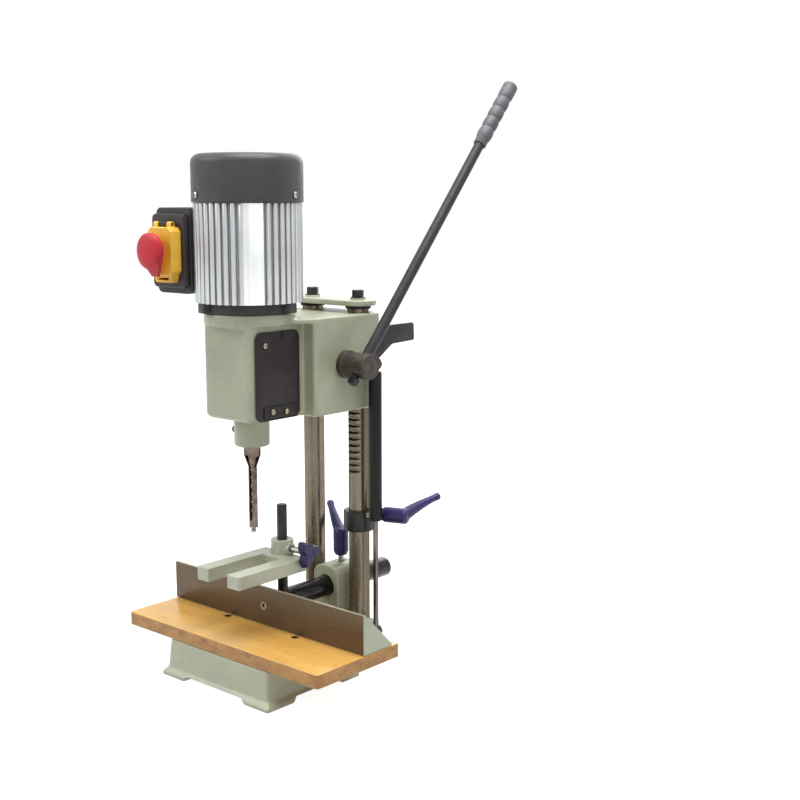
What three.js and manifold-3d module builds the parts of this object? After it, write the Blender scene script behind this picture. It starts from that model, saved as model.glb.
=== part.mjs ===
// Hollow-chisel bench mortiser, in millimetres, Z up.
// The origin is on the chisel's axis at the top face of the wooden table.
// X runs along the table, Y runs from the operator towards the columns.
import * as THREE from "three";
import { mergeVertices } from "three/addons/utils/BufferGeometryUtils.js";
import Module from "manifold-3d";

const wasm = await Module();
wasm.setup();

// General clearances
const fit = 0.3;
const overrun = 2;
const weldDistance = 0.0001;

// Driving dimensions of the stand
// The table's top face is split at freeY, so that the face under the work is the part in front of the fence.
const table = {
  width: 318, depth: 130, thickness: 16, middleY: 5.5, frontRadius: 4, rearRadius: 1.5, freeY: 12,
};
const tableScrew = {
  spacing: 114, y: 8, headRadius: 4.6, headDepth: 2.6, shankRadius: 2.2, length: 24, drive: 1.6,
  driveDepth: 1.2,
};
const base = {
  height: 43.2, halfWidth: 82.5, frontY: -59.5, rearY: 73, cornerRadius: 3, flare: 8, flareBand: 4.2,
  flareRise: 6, wall: 8, topWall: 8, archHeight: 6.2, archSlope: 4.5, frontArchHalf: 47,
  sideArchFrontY: -22, sideArchRearY: 47,
};
const columnFoot = { height: 25.5, halfWidth: 61, rearY: 157, cornerRadius: 13, flare: 3, archHalf: 30 };
const pedestal = {
  halfWidth: 54.5, rearY: 154.5, cornerRadius: 17, drop: 0.8, socketWall: 4.3, socketDepth: 36,
};
const column = { radius: 12.5, x: 37.5, y: 137.5, toothDepth: 5.6 };
const slideBlock = { halfWidth: 20.5, frontY: 116.8, rearY: 158, topZ: 49, cornerRadius: 14 };
const strutLug = { depth: 20, height: 26.5, boltDrop: 10 };

// Driving dimensions of the sliding head
const head = {
  bottomZ: 249, height: 111.5, noseHalfWidth: 40.5, noseFrontY: -36.3, noseCornerRadius: 9,
  bodyHalfWidth: 59, bodyFrontY: 43, bodyRearY: 160, bodyCornerRadius: 15, stepRadius: 4, edgeRadius: 4,
  wall: 6, topWall: 8, floorWall: 8, padRadius: 51, padHeight: 7.8, flangeThickness: 5.3,
  flangeNeckX: 46, flangeNeckY: 20, flangeShoulderX: 57, flangeShoulderY: 39, guideWall: 7.5, bodyWall: 7,
  leastRadius: 1,
};
const collar = { radius: 20.3, height: 33.8, chamfer: 2.4, chamferWidth: 6, lockDrop: 16 };
const lockScrew = {
  radius: 3, headRadius: 4.1, headLength: 5, socket: 2.2, heading: THREE.MathUtils.degToRad(10),
};
const chisel = {
  size: 7.3, bore: 5.6, tipZ: 119.4, squareTopZ: 190.4, coneTopZ: 205.5, shankRadius: 9.5, shankTopZ: 247,
  neckShare: 1.2,
  slotWidth: 4, slotBottomZ: 129, slotTopZ: 198, windowWidth: 5, windowBottomZ: 191, windowTopZ: 204,
  mouthWidth: 6, mouthBottomZ: 191, mouthTopZ: 206, pointHeight: 4,
};
const auger = {
  radius: 2.5, web: 0.8, tipZ: 113.3, headRadius: 3.1, headHeight: 3, spurHeight: 1.8, fluteTopZ: 212,
  shankRadius: 2.4,
  pitch: 21,
};
const accessCover = {
  thickness: 2.6, frontY: -31.5, rearY: 34.5, bottomZ: 250.6, topZ: 349, cornerRadius: 8,
  notchFrontY: -4.5, notchRearY: 9, notchDepth: 8, panelZ: 266.5, panelStep: 0.8,
};
const coverScrew = { headRadius: 3.4, headHeight: 1.8, shankRadius: 1.8, length: 7 };
const coverScrewPlaces = {
  access_cover_screw_upper: { y: -17.5, z: 334.3 },
  access_cover_screw_front: { y: -8, z: 260.2 },
  access_cover_screw_rear: { y: 13, z: 258.6 },
};
const accessHole = { frontY: -23, rearY: 27, bottomZ: 272, topZ: 326 };

// Driving dimensions of the feed
const gear = {
  module: 2.5, teeth: 28, pressureAngle: THREE.MathUtils.degToRad(20), width: 18, backlash: 0.5,
  tipCut: 0.3, room: 1.5, rootShare: 1.25, rootWidthShare: 1.15,
};
const rack = { topZ: 335, bottomZ: 170 };
const feed = {
  z: 305, shaftRadius: 10, hubRadius: 14.8, flangeRadius: 16.2, flangeWidth: 7, hubLength: 39, hubEdge: 1,
  rimWidth: 3,
  leverX: 84.2, leverLean: THREE.MathUtils.degToRad(40.5), leverLength: 434, leverRadius: 6.2,
  gripLength: 102, gripFoot: 9.6, gripRadius: 9.5, gripWaist: 1.5, gripRibs: 4, ribPitch: 16.4,
  gripOverlap: 92,
  screwRadius: 4, screwStand: 2.2, screwHead: 9, screwHeadHeight: 8,
};

// Driving dimensions of the motor
const motor = {
  shieldHeight: 11, shieldRadius: 51.5, earReach: 58.5, earWidth: 17, ears: 3,
  earHeading: THREE.MathUtils.degToRad(12), bodyHeight: 108.6, coreRadius: 57, finRadius: 60,
  innerRadius: 50, padWidthAngle: THREE.MathUtils.degToRad(21), finsPerQuarter: 8, finShare: 0.5,
  padHeading: THREE.MathUtils.degToRad(8),
  topShieldHeight: 10, coverRadius: 61.6, coverHeight: 52.6, coverWall: 2, coverEdge: 11,
  coverEdgeHeight: 10, ventCount: 12, ventWidth: 4, ventInner: 20, ventOuter: 42, coverScrewRise: 8,
  coverScrewHead: 3.8,
};
const fanCoverScrewAngles = [14, -106].map((degrees) => THREE.MathUtils.degToRad(degrees));
const bearing = { radius: 16, bore: 6.3, height: 9, lip: 2, room: 2 };
const shaft = { radius: 6, topRise: 42 };
const rotorCore = { radius: 30.5, height: 70, rise: 20 };
const stator = { innerRadius: 31.2, windingOuter: 45, windingInner: 35, windingRise: 9 };
const fan = { radius: 52, hubRadius: 12, blades: 8, bladeThickness: 2, height: 20, plate: 2.5, rise: 14 };
const chuck = { radius: 17.5, rise: 75, bodyHeight: 34, noseHeight: 12, noseRadius: 8, shaftDepth: 15 };

// Driving dimensions of the switch
const switchBox = {
  middleX: -70, width: 58, height: 95, rearY: 12, frontY: -48.6, middleZ: 435.5, wall: 3, rim: 8,
  cornerRadius: 7,
  plateWidth: 55, plateHeight: 81.5, plateThickness: 7.2, plateCorner: 6,
};
const flap = {
  middleX: -68, width: 41, height: 53, depth: 13.5, wall: 2.2, topZ: 462, cornerCut: 5, latchDrop: 8,
  latchWidth: 34,
  latchTaper: 4, latchGapWidth: 18, latchGapHeight: 2.6, latchDepth: 9, lugWidth: 7, lugX: 11.5,
  lugRadius: 2.8,
  lugHole: 1.6, standWidth: 15, pinHalf: 15.5, standHalfHeight: 2.3, pinRadius: 1.3, pinRise: 3.2,
  pinStand: 6.5,
};
const paddle = {
  radius: 20, middleZ: 436, rimThickness: 5.5, dome: 4, domeShare: 0.75, lift: 10, tailWidth: 11,
  tailBottomZ: 408, tailTopZ: 430, tailTopHalf: 17.5, tailBack: 6, tailThickness: 3, pusherRadius: 4,
  pusherZ: 426,
};
const button = { radius: 7.5, edge: 1, stand: 4.5, startZ: 447, stopZ: 426, depth: 14 };

// Driving dimensions of the fence and the hold-down
const fence = {
  frontY: 12.8, thickness: 3.2, height: 46.6, gussetDepth: 43, gussetThickness: 4, flangeThickness: 2.4,
  lift: 0.6,
};
const fenceBar = { radius: 12.5, z: 23.5, rearY: 225, chamfer: 1.5 };
const fenceScrew = {
  headRadius: 4.8, headDepth: 2.6, shankRadius: 2.9, length: 22, socket: 2, socketDepth: 2,
};
const post = { radius: 6, y: 44.5, topZ: 139.5, chamfer: 1.2, seatDepth: 14 };
const fork = {
  bottomZ: 64.5, thickness: 15.7, halfWidth: 35.5, gapHalf: 15.8, tipY: -56, crotchY: 27, rearY: 51,
  bossRadius: 13.5, bossTopZ: 97.8, cornerCut: 1.5, studZ: 88,
};
const knob = {
  radius: 18.5, waist: 8.5, lobes: 3, phase: THREE.MathUtils.degToRad(8), thickness: 11, startX: 37.5,
  hubRadius: 7, hubLength: 2, studRadius: 3.6,
};

// Driving dimensions of the clamp levers and the depth stop
const clampLever = {
  hubFoot: 7.4, hubRadius: 9.4, hubHeight: 34, footHeight: 5, studRadius: 3.5, armStart: 8, armEnd: 4.2,
  armLength: 61,
  armLean: THREE.MathUtils.degToRad(29), armRootRise: 27.5, hubTopShare: 0.7, armTipShare: 0.7,
};
const fenceLock = { y: 144.5, hubStand: 8, heading: THREE.MathUtils.degToRad(149) };
const depthStop = {
  radius: 18.8, bottomZ: 97.5, height: 24, studRise: 21, stopHeading: THREE.MathUtils.degToRad(19),
  hubStart: 30,
  armTurn: THREE.MathUtils.degToRad(71), bossRadius: 4.9, bossEnd: 27, screwRadius: 2.6, screwLength: 7,
  screwHeading: THREE.MathUtils.degToRad(-15), slot: 2,
};

// Driving dimensions of the gas strut and the column top
const strut = {
  x: 71.5, y: 129.5, tubeRadius: 7.75, tubeBore: 6.2, rodRadius: 3.1, tubeBottomZ: 115.2, tubeTopZ: 294,
  gland: 9,
  eyeZ: 302.5, eyeRadius: 7.6, eyeWidth: 7, boltRadius: 3.9, boltHead: 5.6, boltHeadHeight: 2.6,
  pistonHeight: 8,
  rodInside: 34, neckRadius: 3.3,
};
const strutBracket = { thickness: 4, lobeRadius: 9.5 };
const strutBracketOutline = {
  armFrontY: 139, armFrontZ: 312.7, kneeFrontY: 166.8, kneeTopZ: 344.6, tailRearY: 208.7, tailTopZ: 344.7,
  tailBottomY: 209.7, tailBottomZ: 323.4, kneeRearY: 169.5, kneeBottomZ: 322, armRearY: 147.5,
  armRearZ: 308,
};
const topPlate = { endRadius: 21.5, thickness: 6.6, gap: 8, bossRadius: 9.6, bossHeight: 1.8 };
const buffer = { radius: 15, thickness: 3.6 };
const topBolt = {
  flangeRadius: 8.9, flangeHeight: 1.6, headRadius: 7.4, headHeight: 7.6, shankRadius: 5, length: 22,
};

// Places that follow from the dimensions above
const floorZ = -(table.thickness + fit + base.height);
const baseTopZ = floorZ + base.height;
const headTopZ = head.bottomZ + head.height;
const padTopZ = headTopZ + head.padHeight;
const columnTopZ = headTopZ + topPlate.gap;
const plateTopZ = columnTopZ + fit + topPlate.thickness;
const pedestalTopZ = baseTopZ - pedestal.drop;
const boltSeatZ = plateTopZ + topPlate.bossHeight + fit;
const columnBottomZ = pedestalTopZ - pedestal.socketDepth;
const footTopZ = floorZ + columnFoot.height;
const strutRodBottomZ = footTopZ - base.topWall / 2 + strutLug.height - strutLug.boltDrop;
const pitchRadius = gear.module * gear.teeth / 2;
const feedY = column.y - column.radius + gear.module - pitchRadius;
const motorZ = padTopZ + fit;
const motorBodyZ = motorZ + motor.shieldHeight + fit;
const motorBodyTopZ = motorBodyZ + motor.bodyHeight;
const coverZ = motorBodyTopZ + fit;
const fenceRearY = fence.frontY + fence.thickness;
const plateFrontY = switchBox.frontY - fit - switchBox.plateThickness;
const hingeZ = flap.topZ + flap.pinRise;
const hingeY = plateFrontY - flap.pinStand;
const collarBottomZ = head.bottomZ - collar.height;
const chuckTopZ = head.bottomZ + chuck.rise;
const hubStartX = head.bodyHalfWidth + fit;
const hubEndX = hubStartX + feed.hubLength;

// Turns a closed three.js geometry into a solid.
function toSolid(geometry) {
  const bare = geometry.clone();
  bare.deleteAttribute("normal");
  bare.deleteAttribute("uv");
  const merged = mergeVertices(bare, weldDistance);
  return new wasm.Manifold(new wasm.Mesh({
    numProp: 3,
    vertProperties: new Float32Array(merged.attributes.position.array),
    triVerts: new Uint32Array(merged.index.array),
  }));
}

// Turns a solid back into a three.js geometry.
function toGeometry(solid) {
  const mesh = solid.getMesh();
  const geometry = new THREE.BufferGeometry();
  geometry.setAttribute("position", new THREE.BufferAttribute(new Float32Array(mesh.vertProperties), 3));
  geometry.setIndex(new THREE.BufferAttribute(new Uint32Array(mesh.triVerts), 1));
  geometry.computeVertexNormals();
  return geometry;
}

// The ways a flat outline or a turned profile is laid along each axis.
const prismFrames = {
  x: new THREE.Matrix4().makeBasis(
    new THREE.Vector3(0, 1, 0), new THREE.Vector3(0, 0, 1), new THREE.Vector3(1, 0, 0)),
  y: new THREE.Matrix4().makeBasis(
    new THREE.Vector3(1, 0, 0), new THREE.Vector3(0, 0, 1), new THREE.Vector3(0, -1, 0)),
  z: new THREE.Matrix4(),
};
const turnFrames = {
  x: new THREE.Matrix4().makeBasis(
    new THREE.Vector3(0, 0, 1), new THREE.Vector3(1, 0, 0), new THREE.Vector3(0, 1, 0)),
  y: new THREE.Matrix4(),
  z: new THREE.Matrix4().makeBasis(
    new THREE.Vector3(1, 0, 0), new THREE.Vector3(0, 0, 1), new THREE.Vector3(0, -1, 0)),
};

// Places a point of a turned piece whose two cross coordinates are given.
function offsetFor(axis, along, cross) {
  if (axis === "x") return [along, cross[0], cross[1]];
  if (axis === "y") return [cross[0], along, cross[1]];
  return [cross[0], cross[1], along];
}

// A straight block between two corners, given as ranges along X, Y and Z.
function block(x, y, z) {
  const geometry = new THREE.BoxGeometry(x[1] - x[0], y[1] - y[0], z[1] - z[0]);
  geometry.translate((x[0] + x[1]) / 2, (y[0] + y[1]) / 2, (z[0] + z[1]) / 2);
  return toSolid(geometry);
}

// Extrudes an outline along an axis: X takes (y, z), Y takes (x, z) and Z takes (x, y).
function prism(axis, outline, from, to) {
  const shape = new THREE.Shape(outline.map(([u, v]) => new THREE.Vector2(u, v)));
  const geometry = new THREE.ExtrudeGeometry(shape, { depth: to - from, bevelEnabled: false });
  geometry.applyMatrix4(prismFrames[axis]);
  geometry.translate(...offsetFor(axis, axis === "y" ? to : from, [0, 0]));
  return toSolid(geometry);
}

// Turns a closed profile of [radius, along] points round an axis.
function turned(axis, profile, cross = [0, 0], sides = 20) {
  const points = profile.map(([radius, along]) => new THREE.Vector2(radius, along));
  const geometry = new THREE.LatheGeometry(points, sides);
  geometry.applyMatrix4(turnFrames[axis]);
  geometry.translate(...offsetFor(axis, 0, cross));
  const solid = toSolid(geometry);
  if (solid.volume() > 0) return solid;
  const flipped = geometry.toNonIndexed();
  const position = flipped.attributes.position;
  for (let corner = 0; corner < position.count; corner += 3) {
    const first = new THREE.Vector3().fromBufferAttribute(position, corner + 1);
    const second = new THREE.Vector3().fromBufferAttribute(position, corner + 2);
    position.setXYZ(corner + 1, second.x, second.y, second.z);
    position.setXYZ(corner + 2, first.x, first.y, first.z);
  }
  return toSolid(flipped);
}

// A plain round bar between two places along an axis.
function rod(axis, radius, from, to, cross = [0, 0], sides = 20) {
  return turned(axis, [[0, from], [radius, from], [radius, to], [0, to]], cross, sides);
}

// A ring between two places along an axis.
function ring(axis, outer, inner, from, to, cross = [0, 0], sides = 20) {
  return turned(
    axis, [[inner, from], [outer, from], [outer, to], [inner, to], [inner, from]], cross, sides);
}

// Corner points of a rounded rectangle; each corner has its own radius.
function roundedOutline(x, y, radii, steps = 4) {
  const corners = [
    [x[1], y[1], 0, radii[0]], [x[0], y[1], 1, radii[1]], [x[0], y[0], 2, radii[2]],
    [x[1], y[0], 3, radii[3]],
  ];
  return corners.flatMap(([cornerX, cornerY, quarter, radius]) => {
    const inX = cornerX - Math.sign(cornerX - (x[0] + x[1]) / 2) * radius;
    const inY = cornerY - Math.sign(cornerY - (y[0] + y[1]) / 2) * radius;
    return Array.from({ length: steps + 1 }, (_, step) => {
      const angle = (quarter + step / steps) * Math.PI / 2;
      return [inX + radius * Math.cos(angle), inY + radius * Math.sin(angle)];
    });
  });
}

// Joins outlines of equal point count, stacked along Z, into one closed body.
function loft(sections) {
  const count = sections[0].outline.length;
  const positions = sections.flatMap(({ outline, z }) => outline.flatMap(([x, y]) => [x, y, z]));
  const index = [];
  for (let level = 0; level + 1 < sections.length; level += 1) {
    for (let corner = 0; corner < count; corner += 1) {
      const next = (corner + 1) % count;
      const low = level * count;
      const high = low + count;
      index.push(low + corner, low + next, high + next, low + corner, high + next, high + corner);
    }
  }
  const last = (sections.length - 1) * count;
  for (let corner = 1; corner + 1 < count; corner += 1) {
    index.push(0, corner + 1, corner, last, last + corner, last + corner + 1);
  }
  const geometry = new THREE.BufferGeometry();
  geometry.setAttribute("position", new THREE.Float32BufferAttribute(positions, 3));
  geometry.setIndex(index);
  return toSolid(geometry);
}

function joined(...solids) {
  return solids.reduce((whole, next) => whole.add(next));
}

// A solid moved by a matrix.
function moved(solid, matrix) {
  return toSolid(toGeometry(solid).applyMatrix4(matrix));
}

// A socket with flats, for screw drives.
function socket(axis, radius, from, to, cross = [0, 0]) {
  return rod(axis, radius, from, to, cross, 6);
}

// Materials, as painted, bare or moulded
function material(color, roughness, metalness = 0) {
  return new THREE.MeshStandardMaterial({ color, roughness, metalness });
}
const paint = material(0xa9ad97, 0.45);
const palePaint = material(0xb4baa6, 0.45);
const board = material(0xd2a14e, 0.5);
const groundSteel = material(0x8d867c, 0.3, 0.9);
const brightSteel = material(0xb9b9bb, 0.25, 0.95);
const blackSteel = material(0x2b2827, 0.45, 0.6);
const brassPlate = material(0xb98a3a, 0.35, 0.9);
const rubber = material(0x1f1f1d, 0.85);
const blackPlastic = material(0x2d2a2b, 0.5);
const coverPlastic = material(0x55515a, 0.5);
const bluePlastic = material(0x3f356a, 0.45);
const yellowPlastic = material(0xeab03a, 0.45);
const redPlastic = material(0xcf3f4c, 0.45);
const greenPlastic = material(0x2e9a55, 0.45);
const castAluminium = material(0xc9cdcf, 0.35, 0.9);
const laminations = material(0x6d6a66, 0.5, 0.8);
const chiselSteel = material(0x6b6058, 0.35, 0.9);

const mortiser = new THREE.Group();

// Adds a named mesh to a group.
function addPart(group, name, solid, finish) {
  const mesh = new THREE.Mesh(toGeometry(solid), finish);
  mesh.name = name;
  group.add(mesh);
  return mesh;
}

// A group that hangs on another at a place.
function subGroup(parent, x = 0, y = 0, z = 0) {
  const group = new THREE.Group();
  group.position.set(x, y, z);
  parent.add(group);
  return group;
}

// Base casting
function baseLoft(halfWidth, frontY, rearY, topZ, radius, flare) {
  const atShare = (share, z) => ({
    outline: roundedOutline(
      [-halfWidth - flare * share, halfWidth + flare * share],
      [frontY - flare * share, rearY + flare * share],
      Array(4).fill(radius)),
    z,
  });
  const draftShare = 0.3;
  return loft([
    atShare(1, floorZ),
    atShare(1, floorZ + base.flareBand),
    atShare(draftShare, floorZ + base.flareBand + base.flareRise),
    atShare(0, topZ),
  ]);
}

function archOutline(from, to) {
  return [
    [from - base.archSlope, floorZ - overrun], [to + base.archSlope, floorZ - overrun],
    [to + base.archSlope, floorZ], [to, floorZ + base.archHeight],
    [from, floorZ + base.archHeight], [from - base.archSlope, floorZ],
  ];
}

// Column foot behind the box, hollow from below, with a socket for each column
function columnFootSolid() {
  const inFront = base.rearY - base.wall;
  const sloped = baseLoft(
    columnFoot.halfWidth, inFront, columnFoot.rearY, footTopZ, columnFoot.cornerRadius, columnFoot.flare);
  const raised = prism("z", roundedOutline(
    [-pedestal.halfWidth, pedestal.halfWidth], [inFront, pedestal.rearY],
    [pedestal.cornerRadius, pedestal.cornerRadius, fit, fit]), footTopZ - base.topWall, pedestalTopZ);
  const lowRoom = block(
    [-columnFoot.halfWidth + base.wall, columnFoot.halfWidth - base.wall],
    [base.rearY, columnFoot.rearY - base.wall], [floorZ - overrun, footTopZ - base.topWall - fit]);
  const highRoom = block(
    [-pedestal.halfWidth + base.wall, pedestal.halfWidth - base.wall],
    [base.rearY, pedestal.rearY - base.wall], [floorZ - overrun, pedestalTopZ - base.topWall]);
  const ahead = block(
    [-columnFoot.halfWidth - base.flare, columnFoot.halfWidth + base.flare],
    [inFront - base.flare - overrun, inFront], [floorZ - overrun, pedestalTopZ + overrun]);
  const sockets = [-1, 1].map((side) => rod(
    "z", column.radius + pedestal.socketWall,
    columnBottomZ - base.topWall / 2, pedestalTopZ - base.topWall / 2,
    [side * column.x, column.y], 28));
  return joined(sloped, raised)
    .subtract(lowRoom)
    .subtract(highRoom)
    .subtract(ahead)
    .add(joined(...sockets));
}

// Block between the columns that guides the fence's slide bar
function slideBlockSolid() {
  const outline = roundedOutline(
    [-slideBlock.halfWidth, slideBlock.halfWidth], [pedestalTopZ - base.topWall / 2, slideBlock.topZ],
    [slideBlock.cornerRadius, slideBlock.cornerRadius, fit, fit]);
  return prism("y", outline, slideBlock.frontY, slideBlock.rearY);
}

// Lug that carries the gas strut's lower bolt
function strutLugSolid() {
  const lowZ = footTopZ - base.topWall / 2;
  return block(
    [columnFoot.halfWidth - base.wall, strut.x - strut.eyeWidth / 2 - fit],
    [strut.y - strutLug.depth / 2, strut.y + strutLug.depth / 2], [lowZ, lowZ + strutLug.height]);
}

// Openings and screw holes cut through the joined base
function baseCuts() {
  const reach = base.halfWidth + base.flare + overrun;
  const frontArch = prism(
    "y", archOutline(-base.frontArchHalf, base.frontArchHalf), base.frontY - base.flare - overrun,
    base.frontY + base.wall + overrun);
  const rearArch = prism(
    "y", archOutline(-columnFoot.archHalf, columnFoot.archHalf), columnFoot.rearY - base.wall - overrun,
    columnFoot.rearY + base.flare);
  const sideArches = prism("x", archOutline(base.sideArchFrontY, base.sideArchRearY), -reach, reach);
  const barBore = rod(
    "y", fenceBar.radius + fit, slideBlock.frontY - overrun, slideBlock.rearY + overrun, [0, fenceBar.z],
    28);
  const lockHole = rod(
    "z", clampLever.studRadius + fit, fenceBar.z, slideBlock.topZ + overrun, [0, fenceLock.y], 16);
  const boltHole = rod(
    "x", strut.boltRadius + fit, columnFoot.halfWidth - base.wall - overrun, strut.x,
    [strut.y, strutRodBottomZ], 16);
  const paired = [-1, 1].flatMap((side) => [
    rod(
      "z", column.radius + fit, columnBottomZ - fit, pedestalTopZ + overrun, [side * column.x, column.y],
      28),
    rod("z", tableScrew.shankRadius + fit, baseTopZ - base.topWall - overrun, baseTopZ + overrun,
      [side * tableScrew.spacing / 2, tableScrew.y], 10),
  ]);
  return joined(frontArch, rearArch, sideArches, barBore, lockHole, boltHole, ...paired);
}

function baseCasting() {
  const box = baseLoft(base.halfWidth, base.frontY, base.rearY, baseTopZ, base.cornerRadius, base.flare);
  const room = prism("z", roundedOutline(
    [-base.halfWidth + base.wall, base.halfWidth - base.wall],
    [base.frontY + base.wall, base.rearY - base.wall],
    Array(4).fill(base.cornerRadius / 2)), floorZ - overrun, baseTopZ - base.topWall);
  return joined(box.subtract(room), columnFootSolid(), slideBlockSolid(), strutLugSolid())
    .subtract(baseCuts());
}

// Wooden table and its countersunk screws
function woodenTable() {
  const outline = roundedOutline(
    [-table.width / 2, table.width / 2], [table.middleY - table.depth / 2, table.middleY + table.depth / 2],
    [table.rearRadius, table.rearRadius, table.frontRadius, table.frontRadius]);
  const board = prism("z", outline, -table.thickness, 0);
  const free = board.trimByPlane([0, -1, 0], -table.freeY).asOriginal();
  let top = free.add(board.trimByPlane([0, 1, 0], table.freeY).asOriginal());
  for (const side of [-1, 1]) {
    top = top.subtract(countersunk(
      "z", tableScrew.headRadius + fit, tableScrew.headDepth + fit, tableScrew.shankRadius + fit,
      table.thickness + overrun, overrun, [side * tableScrew.spacing / 2, tableScrew.y]));
  }
  return top;
}

// A countersunk screw or its hole, head up at the zero of its axis.
function countersunk(axis, headRadius, headDepth, shankRadius, length, headRise, cross) {
  return turned(axis, [
    [0, -length], [shankRadius, -length], [shankRadius, -headDepth], [headRadius, 0],
    [headRadius, headRise], [0, headRise],
  ], cross, 20);
}

function tableScrewSolid(side) {
  const place = [side * tableScrew.spacing / 2, tableScrew.y];
  const screw = turned("z", [
    [0, -tableScrew.length], [tableScrew.shankRadius, -tableScrew.length],
    [tableScrew.shankRadius, -tableScrew.headDepth], [tableScrew.headRadius, -fit], [0, -fit],
  ], place, 20);
  return screw.subtract(socket("z", tableScrew.drive, -fit - tableScrew.driveDepth, overrun, place));
}

// Columns; the right one carries the rack on its front side.
function rackCutter() {
  const pitch = gear.module * Math.PI;
  const faceY = column.y - column.radius;
  const halfTooth = pitch / 4 + gear.backlash / 4;
  const slope = Math.tan(gear.pressureAngle);
  const count = {
    above: Math.floor((rack.topZ - feed.z) / pitch), below: Math.floor((feed.z - rack.bottomZ) / pitch),
  };
  const mouth = halfTooth + slope * (gear.module + overrun);
  const floorHalf = halfTooth - slope * (column.toothDepth - gear.module);
  let cutter = null;
  for (let step = -count.below; step <= count.above; step += 1) {
    const z = feed.z + step * pitch;
    const space = prism("x", [
      [faceY - overrun, z - mouth], [faceY + column.toothDepth, z - floorHalf],
      [faceY + column.toothDepth, z + floorHalf], [faceY - overrun, z + mouth],
    ].reverse(), column.x - column.radius - overrun, column.x + column.radius + overrun);
    cutter = cutter ? cutter.add(space) : space;
  }
  return cutter;
}

function columnSolid(side) {
  const place = [side * column.x, column.y];
  const bar = rod("z", column.radius, columnBottomZ, columnTopZ, place, 28);
  const drilled = bar.subtract(
    rod("z", topBolt.shankRadius + fit, columnTopZ - topBolt.length, columnTopZ + overrun, place, 16));
  return side > 0 ? drilled.subtract(rackCutter()) : drilled;
}

function columnTopPlate() {
  const ends = [-1, 1].map((side) =>
    rod("z", topPlate.endRadius, plateTopZ - topPlate.thickness, plateTopZ, [side * column.x, column.y], 28));
  const middle = block(
    [-column.x, column.x], [column.y - topPlate.endRadius, column.y + topPlate.endRadius],
    [plateTopZ - topPlate.thickness, plateTopZ]);
  let plate = joined(middle, ...ends);
  for (const side of [-1, 1]) {
    const place = [side * column.x, column.y];
    plate = plate.add(rod("z", topPlate.bossRadius, plateTopZ - fit, boltSeatZ - fit, place, 24));
    plate = plate.subtract(rod("z", topBolt.shankRadius + fit, columnTopZ, boltSeatZ + overrun, place, 16));
  }
  return plate;
}

function topBoltSolid(side) {
  const place = [side * column.x, column.y];
  const seat = boltSeatZ;
  const shank = turned("z", [
    [0, plateTopZ - topBolt.length], [topBolt.shankRadius, plateTopZ - topBolt.length],
    [topBolt.shankRadius, seat], [topBolt.flangeRadius, seat],
    [topBolt.headRadius, seat + topBolt.flangeHeight], [0, seat + topBolt.flangeHeight],
  ], place, 20);
  const hex = rod(
    "z", topBolt.headRadius, seat, seat + topBolt.flangeHeight + topBolt.headHeight, place, 6);
  return shank.add(hex);
}

function bufferRing(side) {
  return ring(
    "z", buffer.radius, column.radius + fit, columnTopZ - buffer.thickness, columnTopZ,
    [side * column.x, column.y], 28);
}

function buildStand(stand) {
  addPart(stand, "base_casting", baseCasting(), paint);
  addPart(stand, "wooden_table", woodenTable(), board);
  const sides = { left: -1, right: 1 };
  for (const [name, side] of Object.entries(sides)) {
    addPart(stand, `table_screw_${name}`, tableScrewSolid(side), blackSteel);
    addPart(stand, `column_${name}`, columnSolid(side), groundSteel);
    addPart(stand, `buffer_ring_${name}`, bufferRing(side), rubber);
    addPart(stand, `column_top_bolt_${name}`, topBoltSolid(side), blackSteel);
  }
  addPart(stand, "column_top_plate", columnTopPlate(), palePaint);
}

// Head casting with its nose, rear body, motor pad and chisel collar
function headOutline(inset) {
  const radius = Math.max(head.bodyCornerRadius - inset, head.leastRadius);
  return roundedOutline(
    [-head.bodyHalfWidth + inset, head.bodyHalfWidth - inset],
    [head.bodyFrontY + inset, head.bodyRearY - inset],
    [radius, radius, head.stepRadius, head.stepRadius], 5);
}

function noseOutline(inset) {
  const radius = head.noseCornerRadius - inset;
  return roundedOutline(
    [-head.noseHalfWidth + inset, head.noseHalfWidth - inset],
    [head.noseFrontY + inset, head.bodyFrontY + head.wall / 2],
    [head.stepRadius / 4, head.stepRadius / 4, radius, radius], 4);
}

function headShell() {
  const edge = head.edgeRadius;
  const body = loft([
    { outline: headOutline(edge / 2), z: head.bottomZ },
    { outline: headOutline(0), z: head.bottomZ + edge / 2 },
    { outline: headOutline(0), z: headTopZ - edge / 4 },
    { outline: headOutline(edge / 4), z: headTopZ },
  ]);
  const nose = loft([
    { outline: noseOutline(edge), z: head.bottomZ },
    { outline: noseOutline(0), z: head.bottomZ + edge },
    { outline: noseOutline(0), z: headTopZ - fit },
  ]);
  const flangeLowZ = headTopZ - head.flangeThickness;
  const neck = prism("z", [
    [-head.flangeNeckX, head.flangeNeckY], [head.flangeNeckX, head.flangeNeckY],
    [head.flangeShoulderX, head.flangeShoulderY], [head.flangeShoulderX, head.bodyFrontY + head.wall],
    [-head.flangeShoulderX, head.bodyFrontY + head.wall], [-head.flangeShoulderX, head.flangeShoulderY],
  ], flangeLowZ, headTopZ - fit);
  const pad = rod("z", head.padRadius, flangeLowZ, padTopZ, [0, 0], 48);
  const boss = turned("z", [
    [0, collarBottomZ], [collar.radius - collar.chamferWidth, collarBottomZ],
    [collar.radius, collarBottomZ + collar.chamfer],
    [collar.radius, head.bottomZ + head.edgeRadius], [0, head.bottomZ + head.edgeRadius],
  ], [0, 0], 36);
  return joined(body, nose, neck, pad, boss);
}

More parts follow.
